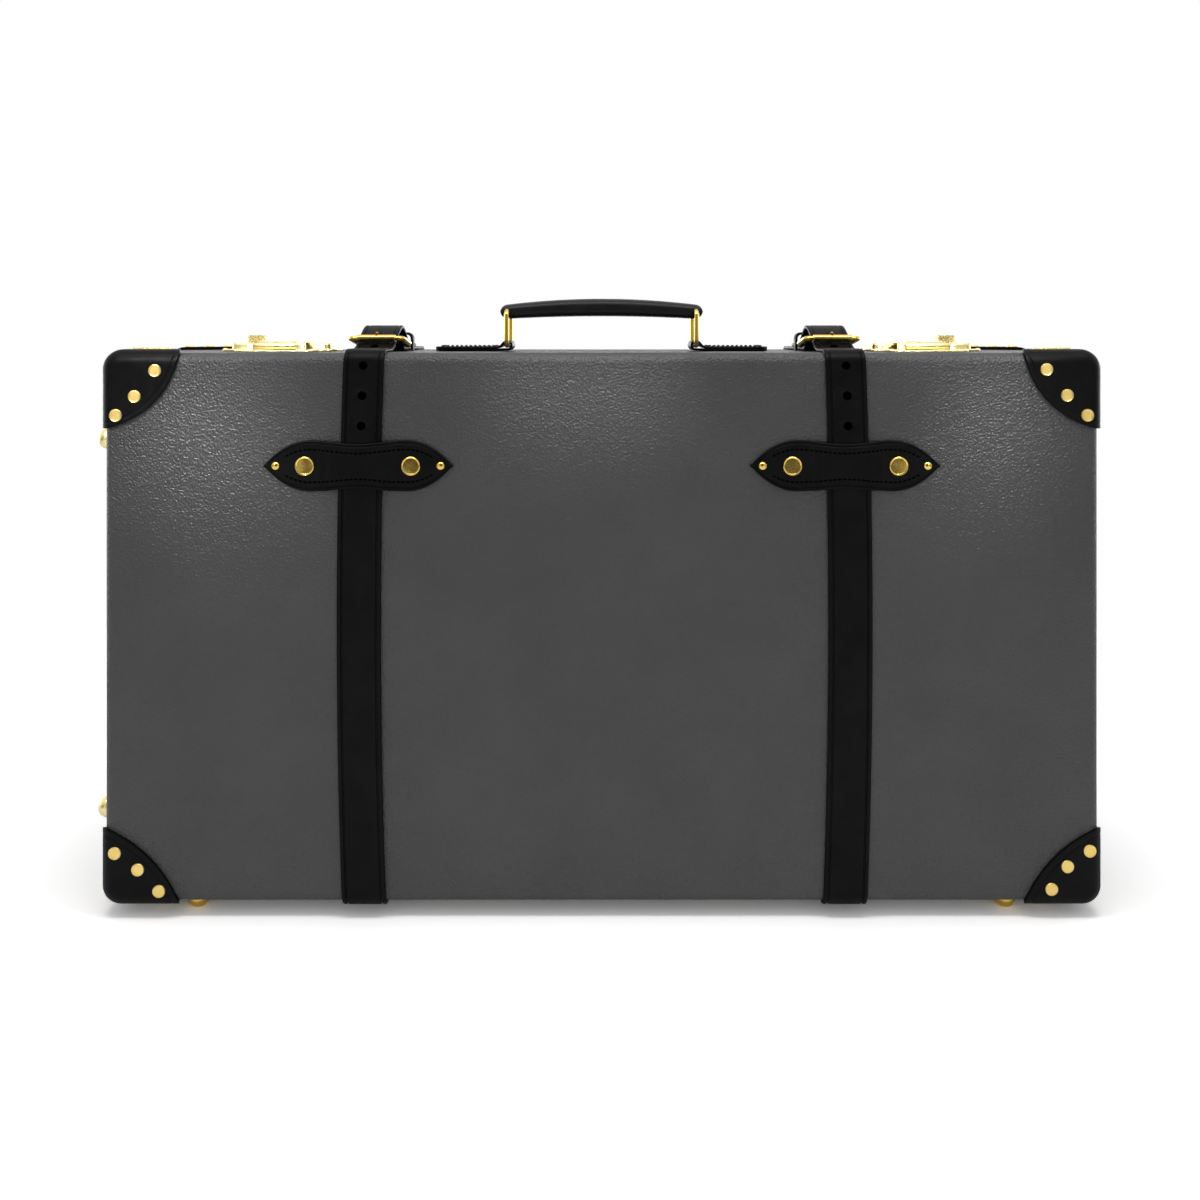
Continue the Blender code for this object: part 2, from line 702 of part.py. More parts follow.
        path, halves = [], []
        stations = 32
        for k in range(stations + 1):
            u = LOOP_HALF * (2 * k / stations - 1)
            reach = abs(u)
            lift = 1 - smooth((reach - strap_clear) / LOOP_RAMP)
            path.append((u, flat + (STRAP_THICKNESS + FIT) * lift))
            if reach < LOOP_LOBE_AT:
                halves.append(LOOP_WAIST + (LOOP_LOBE - LOOP_WAIST) * smooth(reach / LOOP_LOBE_AT))
            else:
                far = (reach - LOOP_LOBE_AT) / (LOOP_HALF - LOOP_LOBE_AT)
                halves.append(LOOP_LOBE * max(1 - far ** 2.1, 0.10))
        loop = solid(f"strap_loop_{half}_{side}", band(path, halves, LOOP_THICKNESS, on_face), "leather",
                     parent=holder)
        for end, way in SIDES:
            root = flat
            stud = turned(on_face(way * STUD_AT, root, 0), (0, outward, 0), [
                (0.0, STUD_RADIUS),
                (LOOP_THICKNESS / 2 + STUD_HEIGHT * 0.6, STUD_RADIUS),
                (LOOP_THICKNESS / 2 + STUD_HEIGHT, STUD_RADIUS * 0.8),
            ], 16)
            shaped(loop, "UNION", guide(f"stud_{half}_{side}_{end}", stud))


# Handle: the rings swing in the chapes and the grip hangs on the rings

ring_mid = (RING_LOW + RING_HIGH) / 2
ring_shape = rounded_polygon([
    (-RING_HALF, RING_LOW - ring_mid), (RING_HALF, RING_LOW - ring_mid),
    (RING_HALF, RING_HIGH - ring_mid), (-RING_HALF, RING_HIGH - ring_mid),
], RING_ROUND)

grip_loops = []
grip_steps = 10
nose = [math.radians(a) for a in (75, 50, 25)]
grip_stations = [(-RING_X - GRIP_END_HALF * math.sin(a), math.cos(a)) for a in nose]
grip_stations += [(RING_X * (2 * k / grip_steps - 1), 1.0) for k in range(grip_steps + 1)]
grip_stations += [(RING_X + GRIP_END_HALF * math.sin(a), math.cos(a)) for a in nose[::-1]]
for u, share in grip_stations:
    bow = max(1 - (u / RING_X) ** 2, 0.0)
    tall = (GRIP_END_HALF + (GRIP_MID_HALF - GRIP_END_HALF) * bow) * share
    wide = GRIP_HALF_DEPTH * (1 - 0.06 * bow) * (0.8 + 0.2 * share)
    loop = []
    for n in range(16):
        angle = 2 * math.pi * n / 16
        c, s = math.cos(angle), math.sin(angle)
        loop.append((
            CENTRE_X + u,
            HANDLE_Y + wide * math.copysign(abs(c) ** 0.55, c),
            TOP + RING_HIGH + GRIP_ARCH * bow + tall * math.copysign(abs(s) ** 0.75, s),
        ))
    grip_loops.append(loop)
left_ring_x = CENTRE_X - RING_X
grip = solid("handle_grip", loft(grip_loops), "leather", pivot=(left_ring_x, HANDLE_Y, TOP + RING_HIGH))

for side, sign in SIDES:
    x = CENTRE_X + sign * RING_X
    reach_y = RING_HALF * 2

    def on_ring(u, v, w, x=x):
        return x + w, HANDLE_Y + u, TOP + ring_mid + v

    solid(f"handle_ring_{side}", ring_tube(ring_shape, RING_WIRE, on_ring), "brass",
          pivot=(x, HANDLE_Y, TOP + RING_LOW))
    shaped(grip, "DIFFERENCE", guide(f"grip_bore_{side}", rod(
        (x, HANDLE_Y - reach_y, TOP + RING_HIGH), (x, HANDLE_Y + reach_y, TOP + RING_HIGH),
        (RING_BORE, RING_BORE), 16)))

    def on_top(u, v, w, x=x, sign=sign):
        return x + sign * u, HANDLE_Y + w, TOP + v

    chape = [(CHAPE_LENGTH, FIT), (0.0, FIT)]
    chape += [
        (CHAPE_LOOP * math.cos(a), RING_LOW + CHAPE_LOOP * math.sin(a))
        for a in (math.radians(262 - 182 * k / 12) for k in range(13))
    ]
    chape += [
        (CHAPE_LOOP * 1.5, RING_LOW + CHAPE_LOOP * 0.55),
        (CHAPE_LENGTH * 0.30, CHAPE_END * 1.55),
        (CHAPE_LENGTH * 0.75, CHAPE_END * 1.35),
        (CHAPE_LENGTH * 0.97, CHAPE_END),
        (CHAPE_LENGTH, CHAPE_END * 0.7),
    ]
    chape_piece = solid(f"handle_chape_{side}", prism(chape, -CHAPE_HALF, CHAPE_HALF, on_top), "leather")
    shaped(chape_piece, "DIFFERENCE", guide(f"chape_bore_{side}", rod(
        (x, HANDLE_Y - reach_y, TOP + RING_LOW), (x, HANDLE_Y + reach_y, TOP + RING_LOW),
        (RING_BORE, RING_BORE), 16)))

# Locks: the case and slide on the base, the plate and hasp on the lid

plate_top = TOP + FIT + LOCK_PLATE
for side, sign in SIDES:
    x = CENTRE_X + sign * LOCK_X
    slide_x = CENTRE_X + sign * (LOCK_X + SLIDE_OUT)
    hasp_x = CENTRE_X + sign * (LOCK_X - HASP_IN)
    plate_y = SEAM + LOCK_FRONT + LOCK_PLATE_DEPTH / 2
    housing_y = SEAM + HOUSING_FRONT + HOUSING_DEPTH / 2
    housing_low = TOP + FIT + LOCK_PLATE / 2
    housing_high = TOP + HOUSING_TOP

    lock = solid(f"lock_case_{side}", pad(
        (x, plate_y), (LOCK_PLATE_HALF, LOCK_PLATE_DEPTH / 2), TOP + FIT, plate_top, 0.006, 0.0005), "brass")
    shaped(lock, "UNION", guide(f"lock_housing_{side}", pad(
        (x, housing_y), (HOUSING_HALF, HOUSING_DEPTH / 2), housing_low, housing_high, 0.005, 0.002)))
    staple_y = SEAM + STAPLE_BACK
    shaped(lock, "DIFFERENCE", guide(f"staple_notch_{side}", block(
        (hasp_x - STAPLE_HALF - STAPLE_PLAY, SEAM + FIT, plate_top + FIT),
        (hasp_x + STAPLE_HALF + STAPLE_PLAY, staple_y + STAPLE_DEPTH + STAPLE_PLAY, TOP + SLIDE_TOP))))
    stem_half = SLIDE_STEM + FIT * 2
    shaped(lock, "DIFFERENCE", guide(f"slide_slot_{side}", block(
        (min(slide_x, slide_x + sign * SLIDE_TRAVEL) - stem_half, housing_y - stem_half, plate_top + FIT),
        (max(slide_x, slide_x + sign * SLIDE_TRAVEL) + stem_half, housing_y + stem_half, TOP + SLIDE_TOP))))

    slide = solid(f"lock_slide_{side}", pad(
        (slide_x, housing_y), (SLIDE_HALF, SLIDE_HALF_DEPTH), housing_high + FIT, TOP + SLIDE_TOP,
        0.0025, 0.0012), "brass", pivot=(slide_x, housing_y, housing_high))
    shaped(slide, "UNION", guide(f"slide_stem_{side}", block(
        (slide_x - SLIDE_STEM, housing_y - SLIDE_STEM, plate_top + FIT * 3),
        (slide_x + SLIDE_STEM, housing_y + SLIDE_STEM, housing_high + SLIDE_STEM))))

    plate_front = SEAM - LID_PLATE_FRONT
    axis_y = plate_front + HASP_AXIS_BACK
    axis_z = TOP + HASP_AXIS_HEIGHT
    barrel_half = HASP_HALF + FIT * 6
    lug_end = barrel_half + FIT * 2 + 0.006
    plate = solid(f"lock_plate_{side}", pad(
        (hasp_x, plate_front + LID_PLATE_DEPTH / 2), (LID_PLATE_HALF, LID_PLATE_DEPTH / 2),
        TOP + FIT, plate_top, 0.006, 0.0005), "brass", parent=lid)
    lug = [(HASP_BARREL, -HASP_AXIS_HEIGHT + FIT + LOCK_PLATE / 2)]
    lug += [
        (HASP_BARREL * math.cos(a), HASP_BARREL * math.sin(a))
        for a in (math.radians(180 * k / 10) for k in range(11))
    ]
    lug.append((-HASP_BARREL, lug[0][1]))

    def on_axis(u, v, w, hasp_x=hasp_x, axis_y=axis_y):
        return hasp_x + w, axis_y + u, axis_z + v

    for end, way in SIDES:
        ends = sorted((way * (barrel_half + FIT * 2), way * lug_end))
        shaped(plate, "UNION", guide(f"hasp_lug_{side}_{end}", prism(lug, ends[0], ends[1], on_axis)))
    shaped(plate, "UNION", guide(f"hasp_pin_{side}", rod(
        on_axis(0, 0, -lug_end + 0.001), on_axis(0, 0, lug_end - 0.001), (HASP_PIN, HASP_PIN), 14)))

    over_housing = HOUSING_TOP - HASP_AXIS_HEIGHT + FIT * 2 + HASP_THICKNESS / 2
    arm_start = HASP_PIN + FIT * 2
    seam_on = SEAM - axis_y
    arm = [
        (arm_start, HASP_BARREL - HASP_THICKNESS * 0.45),
        (seam_on * 0.5, over_housing * 0.8),
        (seam_on + HOUSING_FRONT * 0.5, over_housing),
        (seam_on + HASP_END * 0.9, over_housing),
        (seam_on + HASP_END, over_housing - FIT),
    ]
    hasp = solid(f"lock_hasp_{side}", band(
        arm, [HASP_HALF, HASP_HALF, HASP_HALF, HASP_HALF * 0.92, HASP_HALF * 0.7], HASP_THICKNESS, on_axis),
        "brass", pivot=(hasp_x, axis_y, axis_z), parent=lid)
    shaped(hasp, "UNION", guide(f"hasp_barrel_{side}", pipe(
        on_axis(0, 0, -barrel_half), on_axis(0, 0, barrel_half), HASP_BARREL, HASP_PIN + FIT)))
    shaped(hasp, "UNION", guide(f"hasp_staple_{side}", block(
        (hasp_x - STAPLE_HALF, staple_y, plate_top + FIT * 5),
        (hasp_x + STAPLE_HALF, staple_y + STAPLE_DEPTH, axis_z + over_housing))))

# Hinges under the seam

barrel_gap = FIT
knuckle = HINGE_HALF / 3
for side, sign in SIDES:
    x = CENTRE_X + sign * HINGE_X
    leaf_low, leaf_high = BOTTOM - FIT - HINGE_LEAF, BOTTOM - FIT
    bore = HINGE_PIN + FIT

    def along_pin(w, x=x):
        return x + w, SEAM, HINGE_Z

    for half, way, spans, holder in (
        ("lid", -1, ((-knuckle + barrel_gap, knuckle - barrel_gap),), lid),
        ("base", 1, ((-HINGE_HALF, -knuckle), (knuckle, HINGE_HALF)), None),
    ):
        clear = HINGE_BARREL + FIT * 2
        ys = sorted((SEAM + way * clear, SEAM + way * HINGE_LEAF_DEPTH))
        leaf = solid(f"hinge_{half}_leaf_{side}", block(
            (x - HINGE_HALF, ys[0], leaf_low), (x + HINGE_HALF, ys[1], leaf_high)), "brass", parent=holder)
        for n, (low, high) in enumerate(spans):
            web_y = sorted((SEAM + way * bore * 1.05, SEAM + way * (clear + HINGE_LEAF)))
            shaped(leaf, "UNION", guide(f"hinge_{half}_web_{side}_{n}", block(
                (x + low + FIT / 2, web_y[0], leaf_low + FIT / 3),
                (x + high - FIT / 2, web_y[1], leaf_high - FIT / 3))))
            shaped(leaf, "UNION", guide(f"hinge_{half}_barrel_{side}_{n}", pipe(
                along_pin(low), along_pin(high), HINGE_BARREL, bore)))
    solid(f"hinge_pin_{side}", rod(along_pin(-HINGE_HALF), along_pin(HINGE_HALF),
                                   (HINGE_PIN, HINGE_PIN), 14), "brass", pivot=along_pin(0))
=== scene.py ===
"""Looks for the fibre suitcase: fine surfaces, leather, stitching, rivets, studio and camera.

Sizes are in metres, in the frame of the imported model: X across, Y from front to back, Z up.
"""
import json
from math import asin, atan2, copysign, cos, hypot, pi, radians, remainder, sin, sqrt, tan

import bmesh
import bpy
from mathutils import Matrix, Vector
from mathutils.bvhtree import BVHTree

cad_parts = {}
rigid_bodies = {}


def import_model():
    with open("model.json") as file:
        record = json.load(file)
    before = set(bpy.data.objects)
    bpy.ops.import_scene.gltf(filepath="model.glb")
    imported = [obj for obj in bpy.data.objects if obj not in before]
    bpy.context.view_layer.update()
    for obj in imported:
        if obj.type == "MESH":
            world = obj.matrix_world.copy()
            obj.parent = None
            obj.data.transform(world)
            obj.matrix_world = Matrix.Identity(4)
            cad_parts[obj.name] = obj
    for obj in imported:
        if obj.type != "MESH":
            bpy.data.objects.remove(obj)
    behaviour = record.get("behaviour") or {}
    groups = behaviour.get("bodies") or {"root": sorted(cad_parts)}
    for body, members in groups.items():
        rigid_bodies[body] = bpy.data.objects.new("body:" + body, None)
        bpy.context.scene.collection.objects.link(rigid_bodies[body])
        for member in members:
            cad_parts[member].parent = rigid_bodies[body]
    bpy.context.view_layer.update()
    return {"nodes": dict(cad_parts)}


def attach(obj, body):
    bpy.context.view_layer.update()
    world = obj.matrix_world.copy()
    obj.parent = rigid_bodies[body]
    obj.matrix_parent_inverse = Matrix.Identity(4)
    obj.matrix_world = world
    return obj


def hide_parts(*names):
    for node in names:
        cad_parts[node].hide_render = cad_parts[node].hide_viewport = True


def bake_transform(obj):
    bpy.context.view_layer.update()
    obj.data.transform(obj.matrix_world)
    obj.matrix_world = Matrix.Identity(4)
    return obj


for spare in list(bpy.data.objects):
    bpy.data.objects.remove(spare, do_unlink=True)
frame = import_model()

# Sizes shared with the CAD model
CASE_WIDTH, CASE_HEIGHT, CASE_DEPTH, LID_DEPTH = 0.84, 0.464, 0.2, 0.064
BOARD, CORNER_ROUND, EDGE_ROUND, SEAM_GAP, FIT = 0.0025, 0.014, 0.009, 0.0006, 0.0003
FRAME_PLAY, FRAME_THICKNESS, FRAME_REACH, LINING = 0.0006, 0.0025, 0.01, 0.0015
LEATHER, CORNER_REACH, CORNER_DEPTH_MARGIN = 0.0027, 0.064, 0.007
CORNER_CENTRE, LOW_CORNER_CENTRE, STRAP_UPPER_WIDTH = 0.012, 0.04, 0.0342
FOOT_HEIGHT, FOOT_RADIUS, FOOT_FLAT, FOOT_INSET, FOOT_BACK = 0.011, 0.01, 0.0032, 0.074, 0.02
STRAP_X, STRAP_BOW, STRAP_DRIFT, STRAP_WIDTH, STRAP_THICKNESS = 0.2022, 0.0044, 0.0025, 0.037, 0.003
STRAP_TIP, HOLE_RADIUS, HOLE_PITCH, HOLES = 0.012, 0.0025, 0.0254, 5
BUCKLE_BACK, BUCKLE_LENGTH, BUCKLE_FRONT_HALF, BUCKLE_REAR_HALF = 0.022, 0.038, 0.0235, 0.0232
BUCKLE_ROUND, WIRE_RADIUS, ROLLER_RADIUS, ROLLER_LENGTH = 0.0045, 0.0021, 0.0031, 0.034
ROLLER_HEIGHT, PRONG_RADIUS, EYE_CLEAR = 0.012, 0.0016, 0.001
STRAP_CREST, STRAP_RISE_START, STRAP_FALL, TONGUE_LENGTH = 0.0222, 0.031, 0.04, 0.082
KEEPER_BACK, KEEPER_WIDTH, KEEPER_THICKNESS, KEEPER_HALF = 0.0225, 0.01, 0.0022, 0.0209
KEEPER_HEIGHT, KEEPER_ROUND = 0.0162, 0.005
LOOP_X, LOOP_DROP, LOOP_HALF, LOOP_LOBE, LOOP_WAIST = 0.2045, 0.095, 0.0795, 0.0215, 0.0186
LOOP_LOBE_AT, LOOP_THICKNESS, LOOP_RAMP, STUD_AT, STUD_RADIUS = 0.04, 0.0025, 0.01, 0.0445, 0.008
HANDLE_BACK, RING_X, RING_HALF, RING_WIRE, RING_ROUND = 0.022, 0.0855, 0.023, 0.00225, 0.005
RING_RISE, RING_PLAY, GRIP_HALF_DEPTH, GRIP_END_HALF = 0.0308, 0.0004, 0.0175, 0.0066
GRIP_MID_HALF, GRIP_ARCH, CHAPE_LENGTH, CHAPE_HALF, CHAPE_LEATHER = 0.008, 0.0038, 0.0655, 0.0175, 0.0025
LOCK_X, LOCK_PLATE_HALF, LOCK_PLATE, LOCK_FRONT, LOCK_PLATE_DEPTH = 0.293, 0.0515, 0.0016, 0.003, 0.038
HASP_IN, LID_PLATE_HALF, LID_PLATE_DEPTH, LID_PLATE_FRONT = 0.0095, 0.0355, 0.036, 0.04
HINGE_X, HINGE_HALF, HINGE_LEAF, HINGE_LEAF_DEPTH = 0.11, 0.03, 0.0015, 0.024

SKIN = FIT + LEATHER
CENTRE_X = (FOOT_HEIGHT - SKIN) / 2
BOTTOM = FOOT_HEIGHT
TOP = BOTTOM + CASE_HEIGHT
MIDDLE_Z = (BOTTOM + TOP) / 2
FRONT, BACK = -CASE_DEPTH / 2, CASE_DEPTH / 2
SEAM = FRONT + LID_DEPTH
STRAP_OFF = FIT + STRAP_THICKNESS / 2
BAR_Y = SEAM + BUCKLE_BACK
ROLLER_Y = BAR_Y - BUCKLE_LENGTH
HANDLE_Y = SEAM + HANDLE_BACK
EYE_RADIUS = WIRE_RADIUS + FIT + PRONG_RADIUS * 2
BAR_HEIGHT = EYE_RADIUS + EYE_CLEAR
RING_LOW = FIT + RING_WIRE + RING_PLAY + CHAPE_LEATHER
RING_HIGH = RING_LOW + RING_RISE
SIDES = (("left", -1), ("right", 1))
# Name of each half and its body, its broad face, and the way inwards along Y
HALVES = (("lid", FRONT, 1), ("base", BACK, -1))


# Materials

def add_node(tree, kind, inputs=None, **settings):
    made = tree.nodes.new(f"ShaderNode{kind}")
    for key, value in settings.items():
        setattr(made, key, value)
    for key, value in (inputs or {}).items():
        if isinstance(value, bpy.types.NodeSocket):
            tree.links.new(value, made.inputs[key])
        else:
            made.inputs[key].default_value = value
    return made


def start_material(name, metallic=0.0, shine=0.5):
    made = bpy.data.materials.new(name)
    made.use_nodes = True
    tree = made.node_tree
    shader = tree.nodes["Principled BSDF"]
    shader.inputs["Metallic"].default_value = metallic
    shader.inputs["Specular IOR Level"].default_value = shine
    place = add_node(tree, "TexCoord").outputs["Object"]
    return made, tree, place


def maths(tree, operation, *values):
    return add_node(tree, "Math", dict(enumerate(values)), operation=operation).outputs[0]


def noise(tree, place, scale, detail=3.0):
    inputs = {"Vector": place, "Scale": scale, "Detail": detail}
    return add_node(tree, "TexNoise", inputs).outputs["Fac"]


def cells(tree, place, scale, smoothness=0.5):
    inputs = {"Vector": place, "Scale": scale, "Smoothness": smoothness}
    return add_node(tree, "TexVoronoi", inputs, feature="SMOOTH_F1").outputs["Distance"]


def between(tree, value, low, high, source=(0.3, 0.7)):
    inputs = {"Value": value, "From Min": source[0], "From Max": source[1], "To Min": low, "To Max": high}
    return add_node(tree, "MapRange", inputs).outputs["Result"]


def tint(tree, value, dark, light, source=(0.3, 0.7)):
    ramp = add_node(tree, "ValToRGB", {"Fac": value})
    for stop, place, colour in zip(ramp.color_ramp.elements, source, (dark, light)):
        stop.position = place
        stop.color = (*colour, 1.0)
    return ramp.outputs["Color"]


def mixed_height(tree, parts):
    """Sum of (socket, weight) pairs."""
    total = None
    for value, weight in parts:
        scaled = maths(tree, "MULTIPLY", value, weight)
        total = scaled if total is None else maths(tree, "ADD", total, scaled)
    return total


def finish_material(made, colour, roughness, height, strength, distance):
    tree = made.node_tree
    shader = tree.nodes["Principled BSDF"]
    tree.links.new(colour, shader.inputs["Base Color"])
    tree.links.new(roughness, shader.inputs["Roughness"])
    bump = add_node(tree, "Bump", {"Height": height, "Strength": strength, "Distance": distance})
    tree.links.new(bump.outputs["Normal"], shader.inputs["Normal"])
    return made


def fibre_board():
    """Vulcanised fibre: charcoal, with the pebbled skin of pressed sheet."""
    made, tree, place = start_material("fibre_board", shine=0.45)
    pebbles = cells(tree, place, 540.0, 1.0)
    ripples = noise(tree, place, 570.0, 1.0)
    swells = noise(tree, place, 150.0, 2.0)
    colour = tint(tree, noise(tree, place, 16.0), (0.0435, 0.0435, 0.0445), (0.0515, 0.0515, 0.0525))
    roughness = between(tree, noise(tree, place, 40.0), 0.45, 0.51)
    height = mixed_height(tree, [(pebbles, 0.8), (ripples, 1.0), (swells, 0.4)])
    return finish_material(made, colour, roughness, height, 1.0, 0.0009)


def black_leather(name, shine):
    made, tree, place = start_material(name, shine=shine)
    grain = cells(tree, place, 1300.0, 0.4)
    pores = noise(tree, place, 2600.0, 2.0)
    creases = noise(tree, place, 160.0, 4.0)
    colour = tint(tree, noise(tree, place, 45.0), (0.0021, 0.0021, 0.0023), (0.0042, 0.0042, 0.0045))
    roughness = between(tree, creases, 0.36, 0.48)
    height = mixed_height(tree, [(grain, 0.6), (pores, 0.3), (creases, 0.5)])
    return finish_material(made, colour, roughness, height, 0.22, 0.0004)


def polished_brass(name, dark, light, rough):
    made, tree, place = start_material(name, 1.0)
    haze = noise(tree, place, 120.0, 5.0)
    wipe = add_node(tree, "Mapping", {"Vector": place, "Scale": (60.0, 900.0, 240.0)}).outputs[0]
    colour = tint(tree, noise(tree, place, 60.0), dark, light)
    roughness = between(tree, haze, *rough)
    return finish_material(made, colour, roughness, noise(tree, wipe, 1.0), 0.05, 0.0002)


def knurled_brass():
    """Brass as pale as the locks', lightened as a painted highlight, rolled with a crossed knurl."""
    made, tree, place = start_material("knurled_brass", 1.0)
    rows = []
    for tilt in (0.75, -0.75):
        turned_place = add_node(tree, "Mapping", {"Vector": place, "Rotation": (0.35, tilt, 0.0)})
        wave = add_node(tree, "TexWave", {"Vector": turned_place.outputs[0], "Scale": 150.0},
                        bands_direction="X")
        rows.append((wave.outputs["Fac"], 1.0))
    # Pale colour: painted highlight, as on the locks
    colour = tint(tree, noise(tree, place, 90.0), (0.88, 0.72, 0.3), (0.94, 0.81, 0.4))
    roughness = between(tree, noise(tree, place, 200.0), 0.2, 0.3)
    return finish_material(made, colour, roughness, mixed_height(tree, rows), 0.9, 0.0012)


def lining_cloth():
    made, tree, place = start_material("lining_cloth")
    threads = []
    for direction in ("X", "Z"):
        wave = add_node(tree, "TexWave", {"Vector": place, "Scale": 260.0, "Distortion": 0.6},
                        bands_direction=direction)
        threads.append((wave.outputs["Fac"], 0.5))
    weave = mixed_height(tree, threads)
    colour = tint(tree, weave, (0.2, 0.165, 0.115), (0.3, 0.25, 0.18), (0.2, 0.8))
    roughness = between(tree, noise(tree, place, 30.0), 0.8, 0.92)
    tree.nodes["Principled BSDF"].inputs["Sheen Weight"].default_value = 0.25
    return finish_material(made, colour, roughness, weave, 0.4, 0.0005)


def frame_wood():
    made, tree, place = start_material("frame_wood")
    long_way = add_node(tree, "Mapping", {"Vector": place, "Scale": (8.0, 160.0, 8.0)}).outputs[0]
    grain = noise(tree, long_way, 1.0, 6.0)
    colour = tint(tree, grain, (0.2, 0.115, 0.05), (0.4, 0.26, 0.13))
    roughness = between(tree, grain, 0.45, 0.62)
    return finish_material(made, colour, roughness, grain, 0.2, 0.0004)


def waxed_thread(name, shine, dark, light):
    """Black thread for stitches, also used as painted shade on the walls of holes cut in the leather."""
    made, tree, place = start_material(name, shine=shine)
    twist = noise(tree, place, 1800.0, 2.0)
    colour = tint(tree, twist, (dark, dark, dark), (light, light, light))
    roughness = between(tree, twist, 0.38, 0.55)
    return finish_material(made, colour, roughness, twist, 0.5, 0.0003)


FINISHES = {
    "board": (fibre_board(), "fibre_board"),
    "leather": (black_leather("black_leather", 0.085), "black_leather"),
    "grip_leather": (black_leather("grip_leather", 0.25), "black_leather"),
    "brass": (polished_brass("polished_brass", (0.8, 0.54, 0.115), (0.86, 0.61, 0.155), (0.12, 0.22)),
              "polished_brass"),
    # Brass made paler as a painted highlight, for the locks, their pins and the end feet
    "brass_with_painted_highlight": (polished_brass("brass_with_painted_highlight", (0.91, 0.77, 0.36), (0.94, 0.82, 0.43), (0.24, 0.34)),
                   "polished_brass"),
    # Rougher brass for the corner rivets, its colour lightened as a painted highlight
    "satin_brass_painted_highlight": (polished_brass("satin_brass_painted_highlight", (0.93, 0.66, 0.19), (0.98, 0.74, 0.27), (0.29, 0.37)),
                    "polished_brass"),
    "knurl": (knurled_brass(), "polished_brass"),
    "cloth": (lining_cloth(), "lining_cloth"),
    "wood": (frame_wood(), "frame_wood"),
    "thread": (waxed_thread("waxed_thread", 0.16, 0.002, 0.005), "black_leather"),
    # Near-black thread, also carried onto the walls of cut holes as painted shade
    "thread_and_hole_shade": (waxed_thread("black_thread_and_painted_hole_shade", 0.0, 0.0004, 0.001), "black_leather"),
}


# Making pieces

SHARP = 38


def put(name, data):
    """A new object in the scene."""
    obj = bpy.data.objects.new(name, data)
    bpy.context.scene.collection.objects.link(obj)
    return obj


def meshed(name, shape, finish, centre=None):
    """A mesh with its faces outwards. Those of an open sheet face away from centre."""
    mesh = bpy.data.meshes.new(name)
    mesh.from_pydata([Vector(v) for v in shape[0]], [], shape[1])
    mesh.materials.append(FINISHES[finish][0])
    work = bmesh.new()
    work.from_mesh(mesh)
    bmesh.ops.remove_doubles(work, verts=work.verts, dist=1e-6)
    bmesh.ops.recalc_face_normals(work, faces=work.faces)
    if centre is not None:
        middle = Vector(centre)
        facing = sum(f.calc_area() * f.normal.dot(f.calc_center_median() - middle) for f in work.faces)
        if facing < 0:
            bmesh.ops.reverse_faces(work, faces=work.faces)
    work.to_mesh(mesh)
    work.free()
    return mesh


def piece(name, shape, finish, body, stands_for=(), sharp=SHARP, centre=None):
    """A smooth-shaded piece on a body."""
    mesh = meshed(name, shape, finish, centre)
    mesh.shade_smooth()
    mesh.set_sharp_from_angle(angle=radians(sharp))
    obj = put(name, mesh)
    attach(obj, body)
    if stands_for:
        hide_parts(*stands_for)
    return obj


def joined(shapes):
    verts, faces = [], []
    for more_verts, more_faces in shapes:
        start = len(verts)
        verts += more_verts
        faces += [tuple(start + k for k in face) for face in more_faces]
    return verts, faces


def loft(loops, closed=False):
    count = len(loops[0])
    verts = [point for loop in loops for point in loop]
    faces = []
    for step in range(len(loops) if closed else len(loops) - 1):
        a = step * count
        b = (step + 1) % len(loops) * count
        for k in range(count):
            after = (k + 1) % count
            faces.append((a + k, a + after, b + after, b + k))
    if not closed:
        faces.append(tuple(range(count)))
        faces.append(tuple(range(len(verts) - count, len(verts))))
    return verts, faces


def cut_away(obj, shapes):
    """Cuts closed shapes out of a piece for good. The walls of the cuts take the cutters' near-black finish
    as painted shade.
    """
    cutters = []
    for shape in shapes:
        # Each cutter carries the near-black finish onto its cut walls: painted shade
        cutter = put("cut", meshed("cut", shape, "thread_and_hole_shade"))
        step = obj.modifiers.new("cut", "BOOLEAN")
        step.operation = "DIFFERENCE"
        step.material_mode = "TRANSFER"
        step.object = cutter
        cutters.append(cutter)
    bpy.context.view_layer.update()
    result = bpy.data.meshes.new_from_object(obj.evaluated_get(bpy.context.evaluated_depsgraph_get()))
    obj.modifiers.clear()
    obj.data = result
    result.set_sharp_from_angle(angle=radians(SHARP))
    for cutter in cutters:
        bpy.data.objects.remove(cutter, do_unlink=True)


def eased(obj, width, segments=2, angle=40):
    """Rounds a piece's hard edges."""
    weld = obj.modifiers.new("weld", "WELD")
    weld.merge_threshold = 1e-6
    bevel = obj.modifiers.new("eased_edges", "BEVEL")
    bevel.width = width
    bevel.segments = segments
    bevel.limit_method = "ANGLE"
    bevel.angle_limit = radians(angle)


def across_axes(along):
    along = Vector(along).normalized()
    across = along.orthogonal().normalized()
    return along, across, along.cross(across)


def ring_round(centre, across, up, radius, sides):
    turns = (2 * pi * n / sides for n in range(sides))
    return [centre + radius * (cos(a) * across + sin(a) * up) for a in turns]


def turned(at, along, profile, sides=40):
    """A turned piece: profile is (distance along the axis, radius), from its seat to its top."""
    along, across, up = across_axes(along)
    loops = []
    for distance, radius in profile:
        loops.append(ring_round(Vector(at) + along * distance, across, up, max(radius, 1e-5), sides))
    return loft(loops)


def sleeve(at, profile, sides=28):
    """A turned piece along X with a bore through it: profile goes round from the bore and back to it."""
    points = turned(at, (1, 0, 0), profile, sides)[0]
    return loft([points[k * sides:(k + 1) * sides] for k in range(len(profile))], closed=True)


